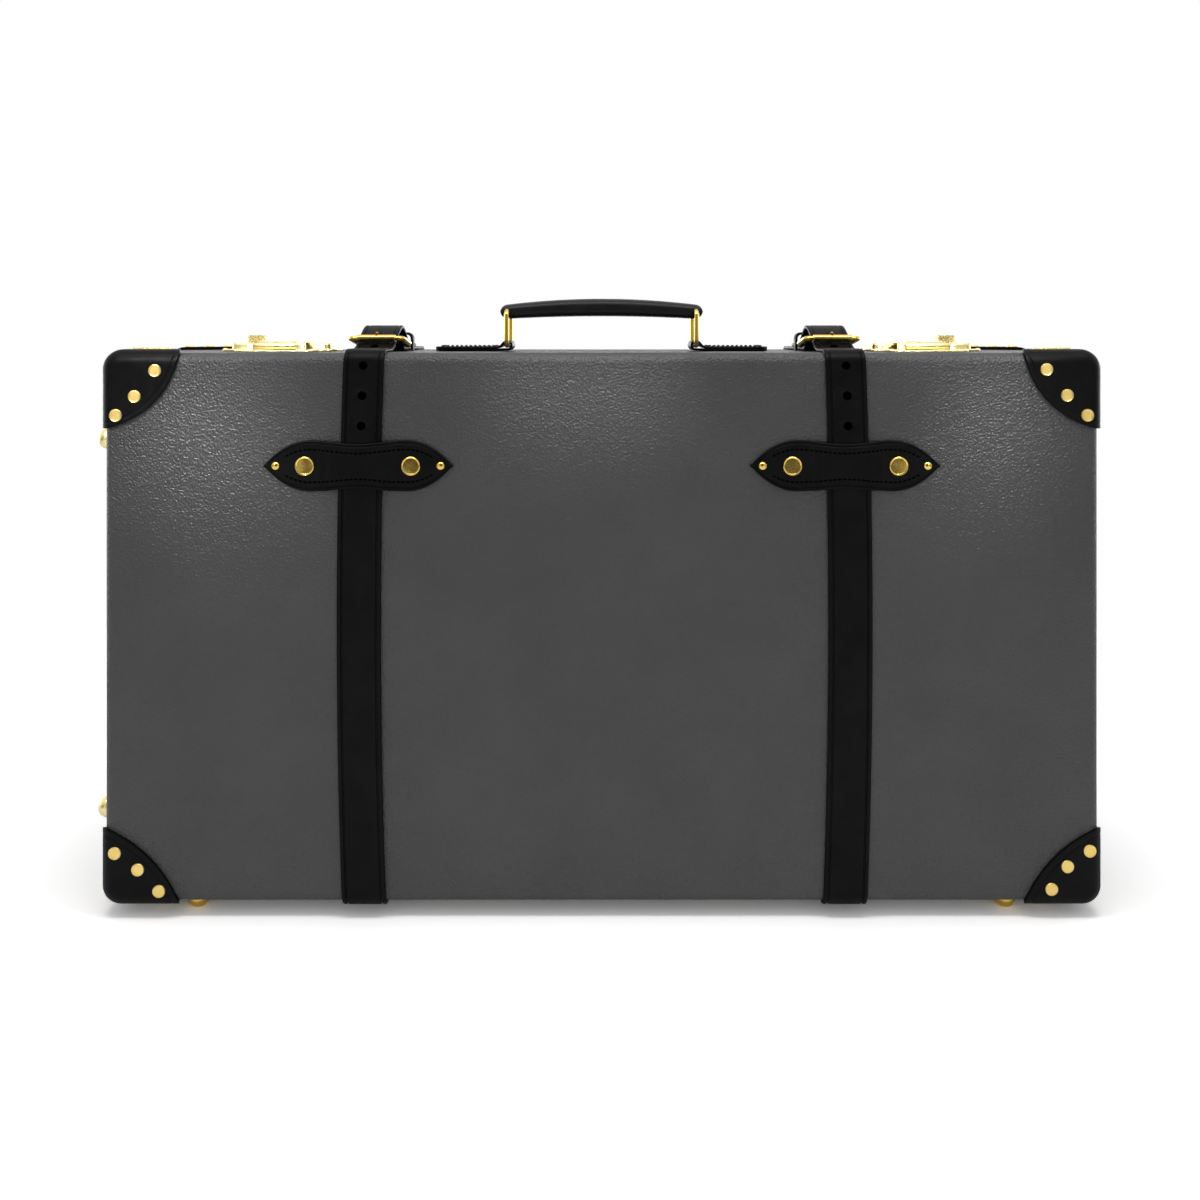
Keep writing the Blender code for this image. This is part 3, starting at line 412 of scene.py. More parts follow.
def tube(points, radius, sides=16):
    """A wire along a closed path."""
    loops = []
    count = len(points)
    normal = (Vector(points[count // 3]) - Vector(points[0])).cross(
        Vector(points[2 * count // 3]) - Vector(points[0])).normalized()
    for k, point in enumerate(points):
        along = (Vector(points[(k + 1) % count]) - Vector(points[k - 1])).normalized()
        across = along.cross(normal)
        loops.append(ring_round(Vector(point), across, normal, radius, sides))
    return loft(loops, closed=True)


def rod(points, radii, sides=16):
    """A round rod along an open path, with a radius at each point."""
    loops = []
    for k, point in enumerate(points):
        along = Vector(points[min(k + 1, len(points) - 1)]) - Vector(points[max(k - 1, 0)])
        along.normalize()
        across = Vector((1.0, 0.0, 0.0)) if abs(along.x) < 0.9 else Vector((0.0, 1.0, 0.0))
        across = (across - along * across.dot(along)).normalized()
        up = along.cross(across)
        loops.append(ring_round(Vector(point), across, up, radii[k], sides))
    return loft(loops)


def box(low, high):
    (x0, y0, z0), (x1, y1, z1) = low, high
    return loft([[(x0, y0, z), (x1, y0, z), (x1, y1, z), (x0, y1, z)] for z in (z0, z1)])


def rounded_polygon(corners, radius, steps=8):
    points = []
    for k, corner in enumerate(corners):
        here = Vector(corner)
        back = (Vector(corners[k - 1]) - here).normalized()
        on = (Vector(corners[(k + 1) % len(corners)]) - here).normalized()
        half = back.angle(on) / 2
        centre = here + (back + on).normalized() * radius / sin(half)
        start = here + back * radius / tan(half) - centre
        end = here + on * radius / tan(half) - centre
        first = atan2(start.y, start.x)
        turn = remainder(atan2(end.y, end.x) - first, 2 * pi)
        for n in range(steps + 1):
            angle = first + turn * n / steps
            points.append((centre.x + radius * cos(angle), centre.y + radius * sin(angle)))
    return points


def quarter_turn(steps):
    return [radians(90 * k / steps) for k in range(steps + 1)]


def smooth(t):
    t = min(max(t, 0.0), 1.0)
    return t * t * (3 - 2 * t)


def resampled(points, step):
    """Points about a step apart along a path, corners kept."""
    fine = [Vector(points[0])]
    for a, b in zip(points, points[1:]):
        a, b = Vector(a), Vector(b)
        count = max(1, round((b - a).length / step))
        fine += [a.lerp(b, (k + 1) / count) for k in range(count)]
    return [tuple(point) for point in fine]


# A strip narrower than twice this has finer edges
FULL_EDGE_HALF = 0.005


def leather_section(half, thickness, crease=None):
    """Outline of a leather strip, (across, out): eased edges, and a creased line inside each."""
    top = thickness / 2
    fine = min(1.0, half / FULL_EDGE_HALF)
    side = [(0.0, -top * 0.5), (0.0, top * 0.3), (0.00025, top * 0.68), (0.0007, top * 0.9), (0.0013, top)]
    if crease:
        side += [
            (crease - 0.0009, top), (crease - 0.0003, top - 0.0008 * fine),
            (crease + 0.0003, top - 0.0008 * fine), (crease + 0.0011, top),
        ]
    side = [(-half + inside * fine, out) for inside, out in side]
    under = [(half - 0.0005 * fine, -top), (-half + 0.0005 * fine, -top)]
    return side + [(-across, out) for across, out in reversed(side)] + under


def swept(path, halves, thickness, place, crease=None):
    """A leather strip along a plane path (u, v). Its half width is one number or one for each point."""
    if isinstance(halves, float):
        halves = [halves] * len(path)
    loops = []
    for k, (u, v) in enumerate(path):
        u0, v0 = path[max(k - 1, 0)]
        u1, v1 = path[min(k + 1, len(path) - 1)]
        long = hypot(u1 - u0, v1 - v0)
        nu, nv = -(v1 - v0) / long, (u1 - u0) / long
        section = leather_section(halves[k], thickness, crease)
        loops.append([place(u + nu * out, v + nv * out, across) for across, out in section])
    return loft(loops)


def stitch(start, end, out, radius):
    """One stitch between two holes, set partly into the leather."""
    start, end, out = Vector(start), Vector(end), Vector(out)
    across = (end - start).normalized().cross(out).normalized()
    loops = []
    for share, width in ((0.0, 0.35), (0.12, 0.8), (0.5, 1.0), (0.88, 0.8), (1.0, 0.35)):
        centre = start.lerp(end, share) + out * radius * (0.9 * sin(pi * share) - 0.35)
        loops.append(ring_round(centre, across, out, radius * width, 7))
    return loft(loops)


def stitch_row(points, out, pitch, share, radius):
    """Stitches along a path."""
    made, walked, next_at = [], 0.0, 0.0
    for k in range(len(points) - 1):
        a, b = Vector(points[k]), Vector(points[k + 1])
        span = (b - a).length
        while next_at < walked + span:
            start = a.lerp(b, (next_at - walked) / span)
            end = start + (b - a).normalized() * pitch * share
            made.append(stitch(start, end, out, radius))
            next_at += pitch
        walked += span
    return joined(made)


# Shells and linings

def outline(half_x, half_z, radius, steps):
    points = []
    for sign_x, sign_z, start in ((1, 1, 0), (-1, 1, 90), (-1, -1, 180), (1, -1, 270)):
        for k in range(steps + 1):
            angle = radians(start + 90 * k / steps)
            points.append((
                sign_x * (half_x - radius) + radius * cos(angle),
                sign_z * (half_z - radius) + radius * sin(angle),
            ))
    return points


def body_loop(inset, y, steps):
    shape = outline(CASE_WIDTH / 2 - inset, CASE_HEIGHT / 2 - inset, CORNER_ROUND - inset, steps)
    return [(CENTRE_X + x, y, MIDDLE_Z + z) for x, z in shape]


def edge_loops(face, inward, inset, radius, steps):
    loops = []
    for angle in quarter_turn(steps):
        y = face + inward * (inset[1] + radius * (1 - sin(angle)))
        loops.append(body_loop(inset[0] + radius * (1 - cos(angle)), y, steps))
    return loops


RIM_EASE = 0.0005


def tray(face, rim, side_inset, face_inset, thickness, steps=12):
    inward = 1 if rim > face else -1
    radius = max(EDGE_ROUND - side_inset, thickness + 0.001)
    outer = edge_loops(face, inward, (side_inset, face_inset), radius, steps)
    deep = (side_inset + thickness, face_inset + thickness)
    inner = edge_loops(face, inward, deep, radius - thickness, steps)
    for along, across in ((1.0, 0.0), (0.4, 0.2), (0.0, 1.0)):
        outer.insert(0, body_loop(side_inset + RIM_EASE * across, rim - inward * RIM_EASE * along, steps))
    inner.insert(0, body_loop(deep[0], rim, steps))
    return loft(inner[::-1] + outer)


lining_gap = BOARD + FIT
frame_in = BOARD + FRAME_PLAY + FRAME_THICKNESS
piece("lid_board", tray(FRONT, SEAM - SEAM_GAP / 2, 0, 0, BOARD), "board", "lid", ["lid_shell"])
piece("base_board", tray(BACK, SEAM + SEAM_GAP / 2, 0, 0, BOARD), "board", "base", ["base_shell"])
lid_cloth_rim = SEAM - FRAME_REACH - FRAME_PLAY * 2
piece("lid_cloth", tray(FRONT, lid_cloth_rim, lining_gap, lining_gap, LINING, 6), "cloth", "lid",
      ["lid_lining"])
piece("base_cloth", tray(BACK, SEAM + FRAME_PLAY, frame_in + FIT, lining_gap, LINING, 6), "cloth", "base",
      ["base_lining"])


# Leather corners, worked out as distances inwards from the three faces that meet at a corner

CORNER_CREASE, CREASE_DEPTH, CORNER_EASE, CORNER_END, FACE_SHORT = 0.0038, 0.00045, 0.0008, 0.086, 0.006
reach_back = LID_DEPTH - CORNER_DEPTH_MARGIN


def outside_corner(spot, centre):
    """Above zero outside the ellipsoid that trims the leather."""
    width_sum = (CORNER_REACH + centre) ** 2 + centre ** 2
    depth_sum = (reach_back + centre) ** 2
    across = (depth_sum - centre ** 2) / (width_sum * depth_sum - 2 * centre ** 4)
    deep = (1 - 2 * across * centre ** 2) / depth_sum
    p, q, d = (value + centre for value in spot)
    return across * (p * p + q * q) + deep * d * d - 1


def corner_rings():
    """(inset, depth) of each ring, from the far end of the wall over the edge to the broad face."""
    flat_steps, edge_steps = 34, 10
    radius = EDGE_ROUND + SKIN
    rings = [(-SKIN, CORNER_END + (EDGE_ROUND - CORNER_END) * k / flat_steps) for k in range(flat_steps)]
    for angle in quarter_turn(edge_steps):
        rings.append((-SKIN + radius * (1 - cos(angle)), -SKIN + radius * (1 - sin(angle))))
    rings += [
        (EDGE_ROUND + (CORNER_END - FACE_SHORT - EDGE_ROUND) * k / flat_steps, -SKIN)
        for k in range(1, flat_steps + 1)
    ]
    return rings


def cut_at(work, value, level):
    """Splits the faces along the line on which value is level."""
    for edge in list(work.edges):
        a, b = edge.verts
        if (value[a] - level) * (value[b] - level) < 0:
            share = (value[a] - level) / (value[a] - value[b])
            value[bmesh.utils.edge_split(edge, a, share)[1]] = level
    for face in list(work.faces):
        cuts = [vert for vert in face.verts if value[vert] == level]
        if len(cuts) == 2:
            bmesh.utils.face_split(face, cuts[0], cuts[1])


def corner_shape(centre):
    line_steps, arc_steps = 34, 12
    rows = []
    for inset, depth in corner_rings():
        radius = max(CORNER_ROUND - inset, 0.0)
        middle = inset + radius
        line = [CORNER_END + (middle - CORNER_END) * k / line_steps for k in range(line_steps)]
        row = [(inset, q, depth) for q in line]
        for angle in quarter_turn(arc_steps):
            row.append((middle - radius * cos(angle), middle - radius * sin(angle), depth))
        row += [(p, inset, depth) for p in line[::-1]]
        rows.append(row)
    count = len(rows[0])
    work = bmesh.new()
    grid = [[work.verts.new(spot) for spot in row] for row in rows]
    for above, below in zip(grid, grid[1:]):
        for k in range(count - 1):
            work.faces.new((above[k], above[k + 1], below[k + 1], below[k]))
    bmesh.ops.remove_doubles(work, verts=work.verts, dist=1e-6)
    value = {vert: outside_corner(vert.co, centre) for vert in work.verts}
    cut_at(work, value, 0.0)
    gone = [face for face in work.faces if max(value[vert] for vert in face.verts) > 0.0]
    bmesh.ops.delete(work, geom=gone, context="FACES")
    crease_at = -2 * CORNER_CREASE / (CORNER_REACH + centre)
    for share in (0.76, 1.0, 1.24):
        cut_at(work, value, crease_at * share)
    work.normal_update()
    for vert in work.verts:
        if value[vert] == crease_at:
            into = vert.normal if sum(vert.normal) > 0 else -vert.normal
            vert.co += into * CREASE_DEPTH
    work.verts.index_update()
    verts = [vert.co.copy() for vert in work.verts]
    faces = [tuple(vert.index for vert in face.verts) for face in work.faces]
    work.free()
    return verts, faces


RIVET = [(-0.0004, 0.0054), (0.0006, 0.0054), (0.001, 0.0051), (0.0011, 0.0047), (0.0009, 0.0043),
         (0.001, 0.003), (0.00104, 0.0015), (0.00105, 0.0)]
# Distances of the rivets from the side and from the top or bottom, on the broad faces
BROAD_RIVETS = {
    "lid_top_left": ((0.0451, 0.015), (0.028, 0.0367), (0.0122, 0.0526)),
    "lid_top_right": ((0.0467, 0.014), (0.0294, 0.0357), (0.0124, 0.0524)),
    "lid_bottom_left": ((0.0114, 0.044), (0.0308, 0.0303), (0.0485, 0.0122)),
    "lid_bottom_right": ((0.0105, 0.046), (0.0292, 0.033), (0.0426, 0.014)),
}
EVEN_RIVETS = ((0.045, 0.014), (0.029, 0.034), (0.012, 0.049))
# Distances along each wall from the corner, and in from the broad face
TURNED_RIVETS = ((0.044, 0.018), (0.029, 0.029), (0.013, 0.04))
RAY_FROM = 0.05

patches = {"top": corner_shape(CORNER_CENTRE), "bottom": corner_shape(LOW_CORNER_CENTRE)}
for half, face, inward in HALVES:
    for side, sign in SIDES:
        for level, up in (("top", 1), ("bottom", -1)):

            def at_corner(spot, face=face, inward=inward, sign=sign, up=up):
                return Vector((
                    CENTRE_X + sign * (CASE_WIDTH / 2 - spot[0]),
                    face + inward * spot[2],
                    MIDDLE_Z + up * (CASE_HEIGHT / 2 - spot[1]),
                ))

            where = f"{half}_{level}_{side}"
            patch_verts, patch_faces = patches[level]
            verts = [at_corner(spot) for spot in patch_verts]
            cap = piece(f"corner_{where}", (verts, patch_faces), "leather", half,
                        [f"{half}_corner_{level}_{side}"], centre=(CENTRE_X, 0, MIDDLE_Z))
            thick = cap.modifiers.new("thickness", "SOLIDIFY")
            thick.thickness = LEATHER
            thick.offset = -1
            eased(cap, CORNER_EASE, 3, 70)
            surface = BVHTree.FromPolygons(verts, patch_faces)
            seats = []
            for p, q in BROAD_RIVETS.get(where, EVEN_RIVETS):
                seats.append(((p, q, -RAY_FROM), Vector((0, inward, 0))))
            for p, d in TURNED_RIVETS:
                seats.append(((p, -RAY_FROM, d), Vector((0, 0, -up))))
                seats.append(((-RAY_FROM, p, d), Vector((-sign, 0, 0))))
            rivets = []
            for spot, into in seats:
                at, normal, _, _ = surface.ray_cast(at_corner(spot), into)
                if normal.dot(into) > 0:
                    normal = -normal
                rivets.append(turned(at, normal, RIVET, 28))
            # The rivets' lighter brass colour is a painted highlight
            piece(f"rivets_{where}", joined(rivets), "satin_brass_painted_highlight", half)


# Dome feet with a rolled flange

FLANGE, DOME_STEPS = 0.0023, 12
dome = [(FIT, FOOT_RADIUS * 0.98), (0.0006, FOOT_RADIUS), (0.0016, FOOT_RADIUS), (0.0021, FOOT_RADIUS * 0.96),
        (FLANGE, FOOT_RADIUS * 0.92)]
for turn in quarter_turn(DOME_STEPS)[1:]:
    dome.append((FLANGE + (FOOT_HEIGHT - FLANGE) * sin(turn),
                 FOOT_FLAT + (FOOT_RADIUS * 0.94 - FOOT_FLAT) * cos(turn)))
for half, face, inward in HALVES:
    y = face + inward * FOOT_BACK
    for side, sign in SIDES:
        at = (CENTRE_X + sign * (CASE_WIDTH / 2 - FOOT_INSET), y, BOTTOM)
        piece(f"dome_{half}_{side}", turned(at, (0, 0, -1), dome), "brass", half, [f"{half}_foot_{side}"])
    for level, up in (("high", 1), ("low", -1)):
        at = (CENTRE_X - CASE_WIDTH / 2, y, MIDDLE_Z + up * (CASE_HEIGHT / 2 - FOOT_INSET))
        # The end feet take the paler brass, a painted highlight
        piece(f"dome_{half}_end_{level}", turned(at, (-1, 0, 0), dome), "brass_with_painted_highlight", half,
              [f"{half}_end_foot_{level}"])


# Straps

def quarter(y, z, start, radius, steps=12):
    turn = [radians(start - 90 * k / steps) for k in range(steps + 1)]
    return [(y + radius * cos(a), z + radius * sin(a)) for a in turn]


def strap_bow(z):
    return STRAP_BOW * max(1 - ((z - MIDDLE_Z) / (CASE_HEIGHT / 2)) ** 2, 0.0)


STRAP_CREASE, KEEPER_CREASE = 0.0039, 0.0018
STRAP_END_GAP, TIP_SHARE, PATH_STEP, FINE_STEP, TONGUE_STEPS = 0.0035, 0.3, 0.008, 0.004, 90
BRIDGE_HALF, BRIDGE_STEPS, BRIDGE_OFF = 0.009, 18, 0.0001
NOTCH_FRONT, NOTCH_BACK, WRAP_STEPS, WRAP_FROM, WRAP_TURN = 0.011, 0.0062, 16, 262, 178
PRONG_OVERHANG, PRONG_BOW, PRONG_DIP, PRONG_TAPER, PRONG_POINT = 0.0025, 0.0006, 0.0003, 0.18, 0.25
PRONG_STEPS, ROLLER_CLEAR, ROLLER_EASE, EYE_EASE = 12, 0.012, 0.0004, 0.0006
# The back length before and after it folds over the bar: distances behind the bar, and lifts
FOLD_START = ((0.014, 0.0), (0.006, 0.0004))
FOLD_END = ((0.01, 0.0024), (0.017, 0.0004), (0.027, 0.0))
# Blind hole: shares of the strap's thickness and of the hole's radius, flared at the top
HOLE_FLARE = [(-0.36, 0.85), (-0.28, 1.0), (0.15, 1.0), (0.34, 1.12), (0.45, 1.4), (0.6, 1.7)]

tail_height = STRAP_OFF + STRAP_THICKNESS + FIT
rise_from = min(FRONT + STRAP_RISE_START, ROLLER_Y - ROLLER_CLEAR)
tongue_end = BAR_Y + TONGUE_LENGTH
bend = EDGE_ROUND + STRAP_OFF


def tongue_height(y):
    if y < BAR_Y:
        return STRAP_OFF + (STRAP_CREST - STRAP_OFF) * smooth((y - rise_from) / (BAR_Y - rise_from))
    return STRAP_CREST + (tail_height - STRAP_CREST) * smooth((y - BAR_Y) / STRAP_FALL)


front_path = [(SEAM - STRAP_END_GAP, BOTTOM - STRAP_OFF)]
front_path += quarter(FRONT + EDGE_ROUND, BOTTOM + EDGE_ROUND, 270, bend)
front_path += quarter(FRONT + EDGE_ROUND, TOP - EDGE_ROUND, 180, bend)
top_from = FRONT + EDGE_ROUND
front_path += [
    (y, TOP + tongue_height(y))
    for y in (top_from + (tongue_end - top_from) * k / TONGUE_STEPS for k in range(1, TONGUE_STEPS + 1))
]
front_path = resampled(front_path, PATH_STEP)

wrap = WIRE_RADIUS + FIT + STRAP_THICKNESS / 2
bar = Vector((BAR_Y, TOP + BAR_HEIGHT))
roller = Vector((ROLLER_Y, TOP + ROLLER_HEIGHT))
back_path = [(SEAM + STRAP_END_GAP, BOTTOM - STRAP_OFF)]
back_path += [(-y, z) for y, z in quarter(FRONT + EDGE_ROUND, BOTTOM + EDGE_ROUND, 270, bend)]
back_path += [(-y, z) for y, z in quarter(FRONT + EDGE_ROUND, TOP - EDGE_ROUND, 180, bend)]
back_path += [(BAR_Y + back, TOP + STRAP_OFF + up) for back, up in FOLD_START]
back_path += [
    (bar.x + wrap * cos(a), bar.y + wrap * sin(a))
    for a in (radians(WRAP_FROM - WRAP_TURN * k / WRAP_STEPS) for k in range(WRAP_STEPS + 1))
]
back_path += [(BAR_Y + back, TOP + STRAP_OFF + STRAP_THICKNESS + up) for back, up in FOLD_END]
back_path = resampled(back_path, PATH_STEP)

prong_off = WIRE_RADIUS + FIT + PRONG_RADIUS
prong_tip = roller + Vector((-PRONG_OVERHANG, ROLLER_RADIUS + FIT + PRONG_RADIUS))
to_bar = bar - prong_tip
prong_turn = atan2(to_bar.y, to_bar.x) + asin(prong_off / to_bar.length)
prong_long = sqrt(to_bar.length ** 2 - prong_off ** 2)
prong_root = prong_tip + Vector((cos(prong_turn), sin(prong_turn))) * prong_long
walked, prong_hole_at = 0.0, None
for before, after in zip(front_path, front_path[1:]):
    on_line = prong_tip.y + (after[0] - prong_tip.x) * tan(prong_turn)
    walked += hypot(after[0] - before[0], after[1] - before[1])
    if after[0] > ROLLER_Y and after[1] > on_line:
        prong_hole_at = walked
        break


def at_length(path, length):
    for (y0, z0), (y1, z1) in zip(path, path[1:]):
        span = hypot(y1 - y0, z1 - z0)
        if length <= span:
            break
        length -= span
    share = length / span
    return Vector((y0 + (y1 - y0) * share, z0 + (z1 - z0) * share)), Vector((y1 - y0, z1 - z0)) / span


def bored(half, radius, ease):
    """Profile of a sleeve on the buckle's wire, with eased ends."""
    bore = WIRE_RADIUS + FIT
    end = [(half, radius - ease), (half, bore)]
    return [(-half, bore), (-half, radius - ease), (-half + ease, radius), (half - ease, radius)] + end


frame_shape = rounded_polygon([
    (-BUCKLE_FRONT_HALF, BUCKLE_LENGTH), (-BUCKLE_REAR_HALF, 0.0),
    (BUCKLE_REAR_HALF, 0.0), (BUCKLE_FRONT_HALF, BUCKLE_LENGTH),
], BUCKLE_ROUND)
slope = (roller - bar).normalized()
lean = (roller - bar).length / BUCKLE_LENGTH

strap_half = STRAP_WIDTH / 2
widths = []
for y, z in front_path:
    near = (tongue_end - y) / STRAP_TIP if z > TOP else 1.0
    taper = smooth((z - TOP + LOOP_DROP + LOOP_LOBE) / (LOOP_LOBE * 2))
    half = strap_half + (STRAP_UPPER_WIDTH / 2 - strap_half) * taper
    widths.append(half * (TIP_SHARE + (1 - TIP_SHARE) * sqrt(smooth(near))))
flare = [(share * STRAP_THICKNESS, HOLE_RADIUS * wide) for share, wide in HOLE_FLARE]
slot_ends = [prong_tip.lerp(prong_root, share) for share in (0.1, 0.8)]
slot_radius = PRONG_RADIUS + FIT * 3
notch_half = PRONG_RADIUS + FIT * 2
bridge_path = [
    (SEAM - BRIDGE_HALF + 2 * BRIDGE_HALF * k / BRIDGE_STEPS, BOTTOM - STRAP_OFF - BRIDGE_OFF)
    for k in range(BRIDGE_STEPS, -1, -1)
]
arch = rounded_polygon([
    (-KEEPER_HALF, -KEEPER_HEIGHT), (-KEEPER_HALF, KEEPER_HEIGHT),
    (KEEPER_HALF, KEEPER_HEIGHT), (KEEPER_HALF, -KEEPER_HEIGHT),
], KEEPER_ROUND)
arch = [(-KEEPER_HALF, FIT)] + [p for p in arch if p[1] > FIT] + [(KEEPER_HALF, FIT)]
arch = resampled(arch, FINE_STEP)

for side, sign in SIDES:
    x = CENTRE_X + sign * STRAP_X + STRAP_DRIFT

    def on_front(y, z, w, x=x, sign=sign):
        return x + sign * strap_bow(z) + w, y, z

    def on_back(y, z, w, x=x):
        return x + w, y, z

    belt = piece(f"belt_front_{side}", swept(front_path, widths, STRAP_THICKNESS, on_front, STRAP_CREASE),
                 "leather", "lid", [f"strap_front_{side}"])
    holes = [rod([(x, end.x, end.y) for end in slot_ends], (slot_radius, slot_radius))]
    for k in range(1, HOLES + 1):
        at, along = at_length(front_path, prong_hole_at - k * HOLE_PITCH)
        out = Vector((-along.y, along.x)) * STRAP_THICKNESS
        hole_x = x + sign * strap_bow(at.y)
        holes.append(turned((hole_x, at.x, at.y), (0, out.x, out.y), flare, 24))
    cut_away(belt, holes)

    back_belt = piece(f"belt_back_{side}",
                      swept(back_path, strap_half, STRAP_THICKNESS, on_back, STRAP_CREASE),
                      "leather", "base", [f"strap_back_{side}"])
    cut_away(back_belt, [box((x - notch_half, BAR_Y - NOTCH_FRONT, TOP - FIT),
                             (x + notch_half, BAR_Y + NOTCH_BACK, TOP + STRAP_CREST))])

    bridge = piece(f"belt_bridge_{side}",
                   swept(bridge_path, strap_half - BRIDGE_OFF, STRAP_THICKNESS, on_back, STRAP_CREASE),
                   "leather", "base")
    bridge.parent = None
    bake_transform(bridge)

    def on_buckle(u, v, x=x):
        v *= lean
        return x + u, bar.x + slope.x * v, bar.y + slope.y * v

    wire = tube([on_buckle(u, v) for u, v in frame_shape], WIRE_RADIUS)
    piece(f"buckle_wire_{side}", wire, "brass", "base", [f"buckle_frame_{side}"])
    reel = sleeve((x, roller.x, roller.y), bored(ROLLER_LENGTH / 2, ROLLER_RADIUS, ROLLER_EASE))
    piece(f"roller_{side}", reel, "brass", f"buckle_roller_{side}", [f"buckle_roller_{side}"])
    tongue_points, tongue_radii = [], []
    for k in range(PRONG_STEPS + 1):
        share = k / PRONG_STEPS
        spot = prong_root.lerp(prong_tip, share)
        spot.y += PRONG_BOW * sin(pi * share) - PRONG_DIP * share ** 6
        tongue_points.append((x, spot.x, spot.y))
        tongue_radii.append(PRONG_RADIUS * (1.0 - PRONG_TAPER * share - PRONG_POINT * share ** 12))
    eye = sleeve((x, bar.x, bar.y), bored(PRONG_RADIUS, EYE_RADIUS, EYE_EASE))
    piece(f"prong_{side}", joined([rod(tongue_points, tongue_radii), eye]), "brass", "base",
          [f"buckle_prong_{side}"])

    def over_top(u, v, w, x=x):
        return x + u, BAR_Y + KEEPER_BACK + KEEPER_WIDTH / 2 + w, TOP + v

    piece(f"keeper_{side}", swept(arch, KEEPER_WIDTH / 2, KEEPER_THICKNESS, over_top, KEEPER_CREASE),
          "leather", "base", [f"strap_keeper_{side}"])


# Pointed loops with their studs and stitching

STUD = [(-0.0005, STUD_RADIUS), (0.0012, STUD_RADIUS), (0.0019, STUD_RADIUS * 0.975),
        (0.0022, STUD_RADIUS * 0.92), (0.0021, STUD_RADIUS * 0.86), (0.00185, STUD_RADIUS * 0.82),
        (0.0019, STUD_RADIUS * 0.5), (0.0019, 0.0)]
PIN_HEAD = [(-0.0005, 0.0035), (0.0004, 0.0035), (0.001, 0.0031), (0.0015, 0.0022), (0.0018, 0.0011),
            (0.0019, 0.0)]
STITCH_IN, STITCH_REACH, LOOP_CREASE, LOOP_STEPS, PIN_AT = 0.0078, 0.061, 0.0022, 96, 0.0693
LOOP_CURVE, LOOP_END = 2.1, 0.06
# Pitch, share of the pitch that shows, and radius of the stitches
LOOP_STITCH, GRIP_STITCH = (0.004, 0.74, 0.0007), (0.0037, 0.78, 0.0006)
CHAPE_STITCH = (0.0042, 0.8, 0.0009)


def loop_half(u):
    reach = abs(u)
    if reach < LOOP_LOBE_AT:
        return LOOP_WAIST + (LOOP_LOBE - LOOP_WAIST) * smooth(reach / LOOP_LOBE_AT)
    far = (reach - LOOP_LOBE_AT) / (LOOP_HALF - LOOP_LOBE_AT)
    return LOOP_LOBE * max(1 - far ** LOOP_CURVE, LOOP_END)


stations = [LOOP_HALF * sin(pi / 2 * (2 * k / LOOP_STEPS - 1)) for k in range(LOOP_STEPS + 1)]
stitch_line = [u * STITCH_REACH / LOOP_HALF for u in stations]
bow_reach = strap_bow(TOP - LOOP_DROP - LOOP_LOBE)
for side, sign in SIDES:
    x = CENTRE_X + sign * STRAP_X + STRAP_DRIFT
    loop_x = CENTRE_X + sign * LOOP_X
    shift = max(abs(x - loop_x), abs(x + sign * bow_reach - loop_x))
    strap_clear = STRAP_WIDTH / 2 + shift + FIT * 2

    def loop_height(u):
        lift = 1 - smooth((abs(u) - strap_clear) / LOOP_RAMP)
        return FIT + LOOP_THICKNESS / 2 + (STRAP_THICKNESS + FIT) * lift

    for where, face, outward, body in (("front", FRONT, -1, "lid"), ("back", BACK, 1, "base")):

        def on_face(u, v, w, face=face, outward=outward, loop_x=loop_x):
            return loop_x + u, face + outward * v, TOP - LOOP_DROP + w

        path = [(u, loop_height(u)) for u in stations]
        halves = [loop_half(u) for u in stations]
        piece(f"loop_{where}_{side}", swept(path, halves, LOOP_THICKNESS, on_face, LOOP_CREASE), "leather",
              body, [f"strap_loop_{where}_{side}"])
        out = (0, outward, 0)
        rows = []
        for way in (-1, 1):
            points = [
                on_face(u, loop_height(u) + LOOP_THICKNESS / 2, way * (loop_half(u) - STITCH_IN))
                for u in stitch_line
            ]
            rows.append(stitch_row(points, out, *LOOP_STITCH))
        piece(f"loop_stitches_{where}_{side}", joined(rows), "thread_and_hole_shade", body)
        heads = []
        for way in (-1, 1):
            for reach, profile, sides in ((STUD_AT, STUD, 48), (PIN_AT, PIN_HEAD, 28)):
                u = way * reach
                heads.append(turned(on_face(u, loop_height(u) + LOOP_THICKNESS / 2, 0), out, profile, sides))
        piece(f"loop_studs_{where}_{side}", joined(heads), "brass", body)


# Handle

# Powers of the grip's outline across and up, above and below its middle
GRIP_ABOVE, GRIP_BELOW = (0.55, 0.75), (0.34, 0.5)
GRIP_STEPS, GRIP_SIDES, GRIP_NARROW, GRIP_SEAM_REACH, GRIP_SEAMS = 60, 48, 0.06, 0.93, (224, 316)
CHAPE_LAYER, CURL_STEPS, CURL_FROM, CURL_TURN = 0.002, 18, 255, 175
TAB_ROUND, CHAPE_STITCH_IN, CHAPE_STITCH_GAP, CHAPE_STITCH_END = 0.006, 0.0024, 0.002, 0.012
ring_mid = (RING_LOW + RING_HIGH) / 2
ring_shape = rounded_polygon([
    (-RING_HALF, RING_LOW - ring_mid), (RING_HALF, RING_LOW - ring_mid),
    (RING_HALF, RING_HIGH - ring_mid), (-RING_HALF, RING_HIGH - ring_mid),
], RING_ROUND, 10)


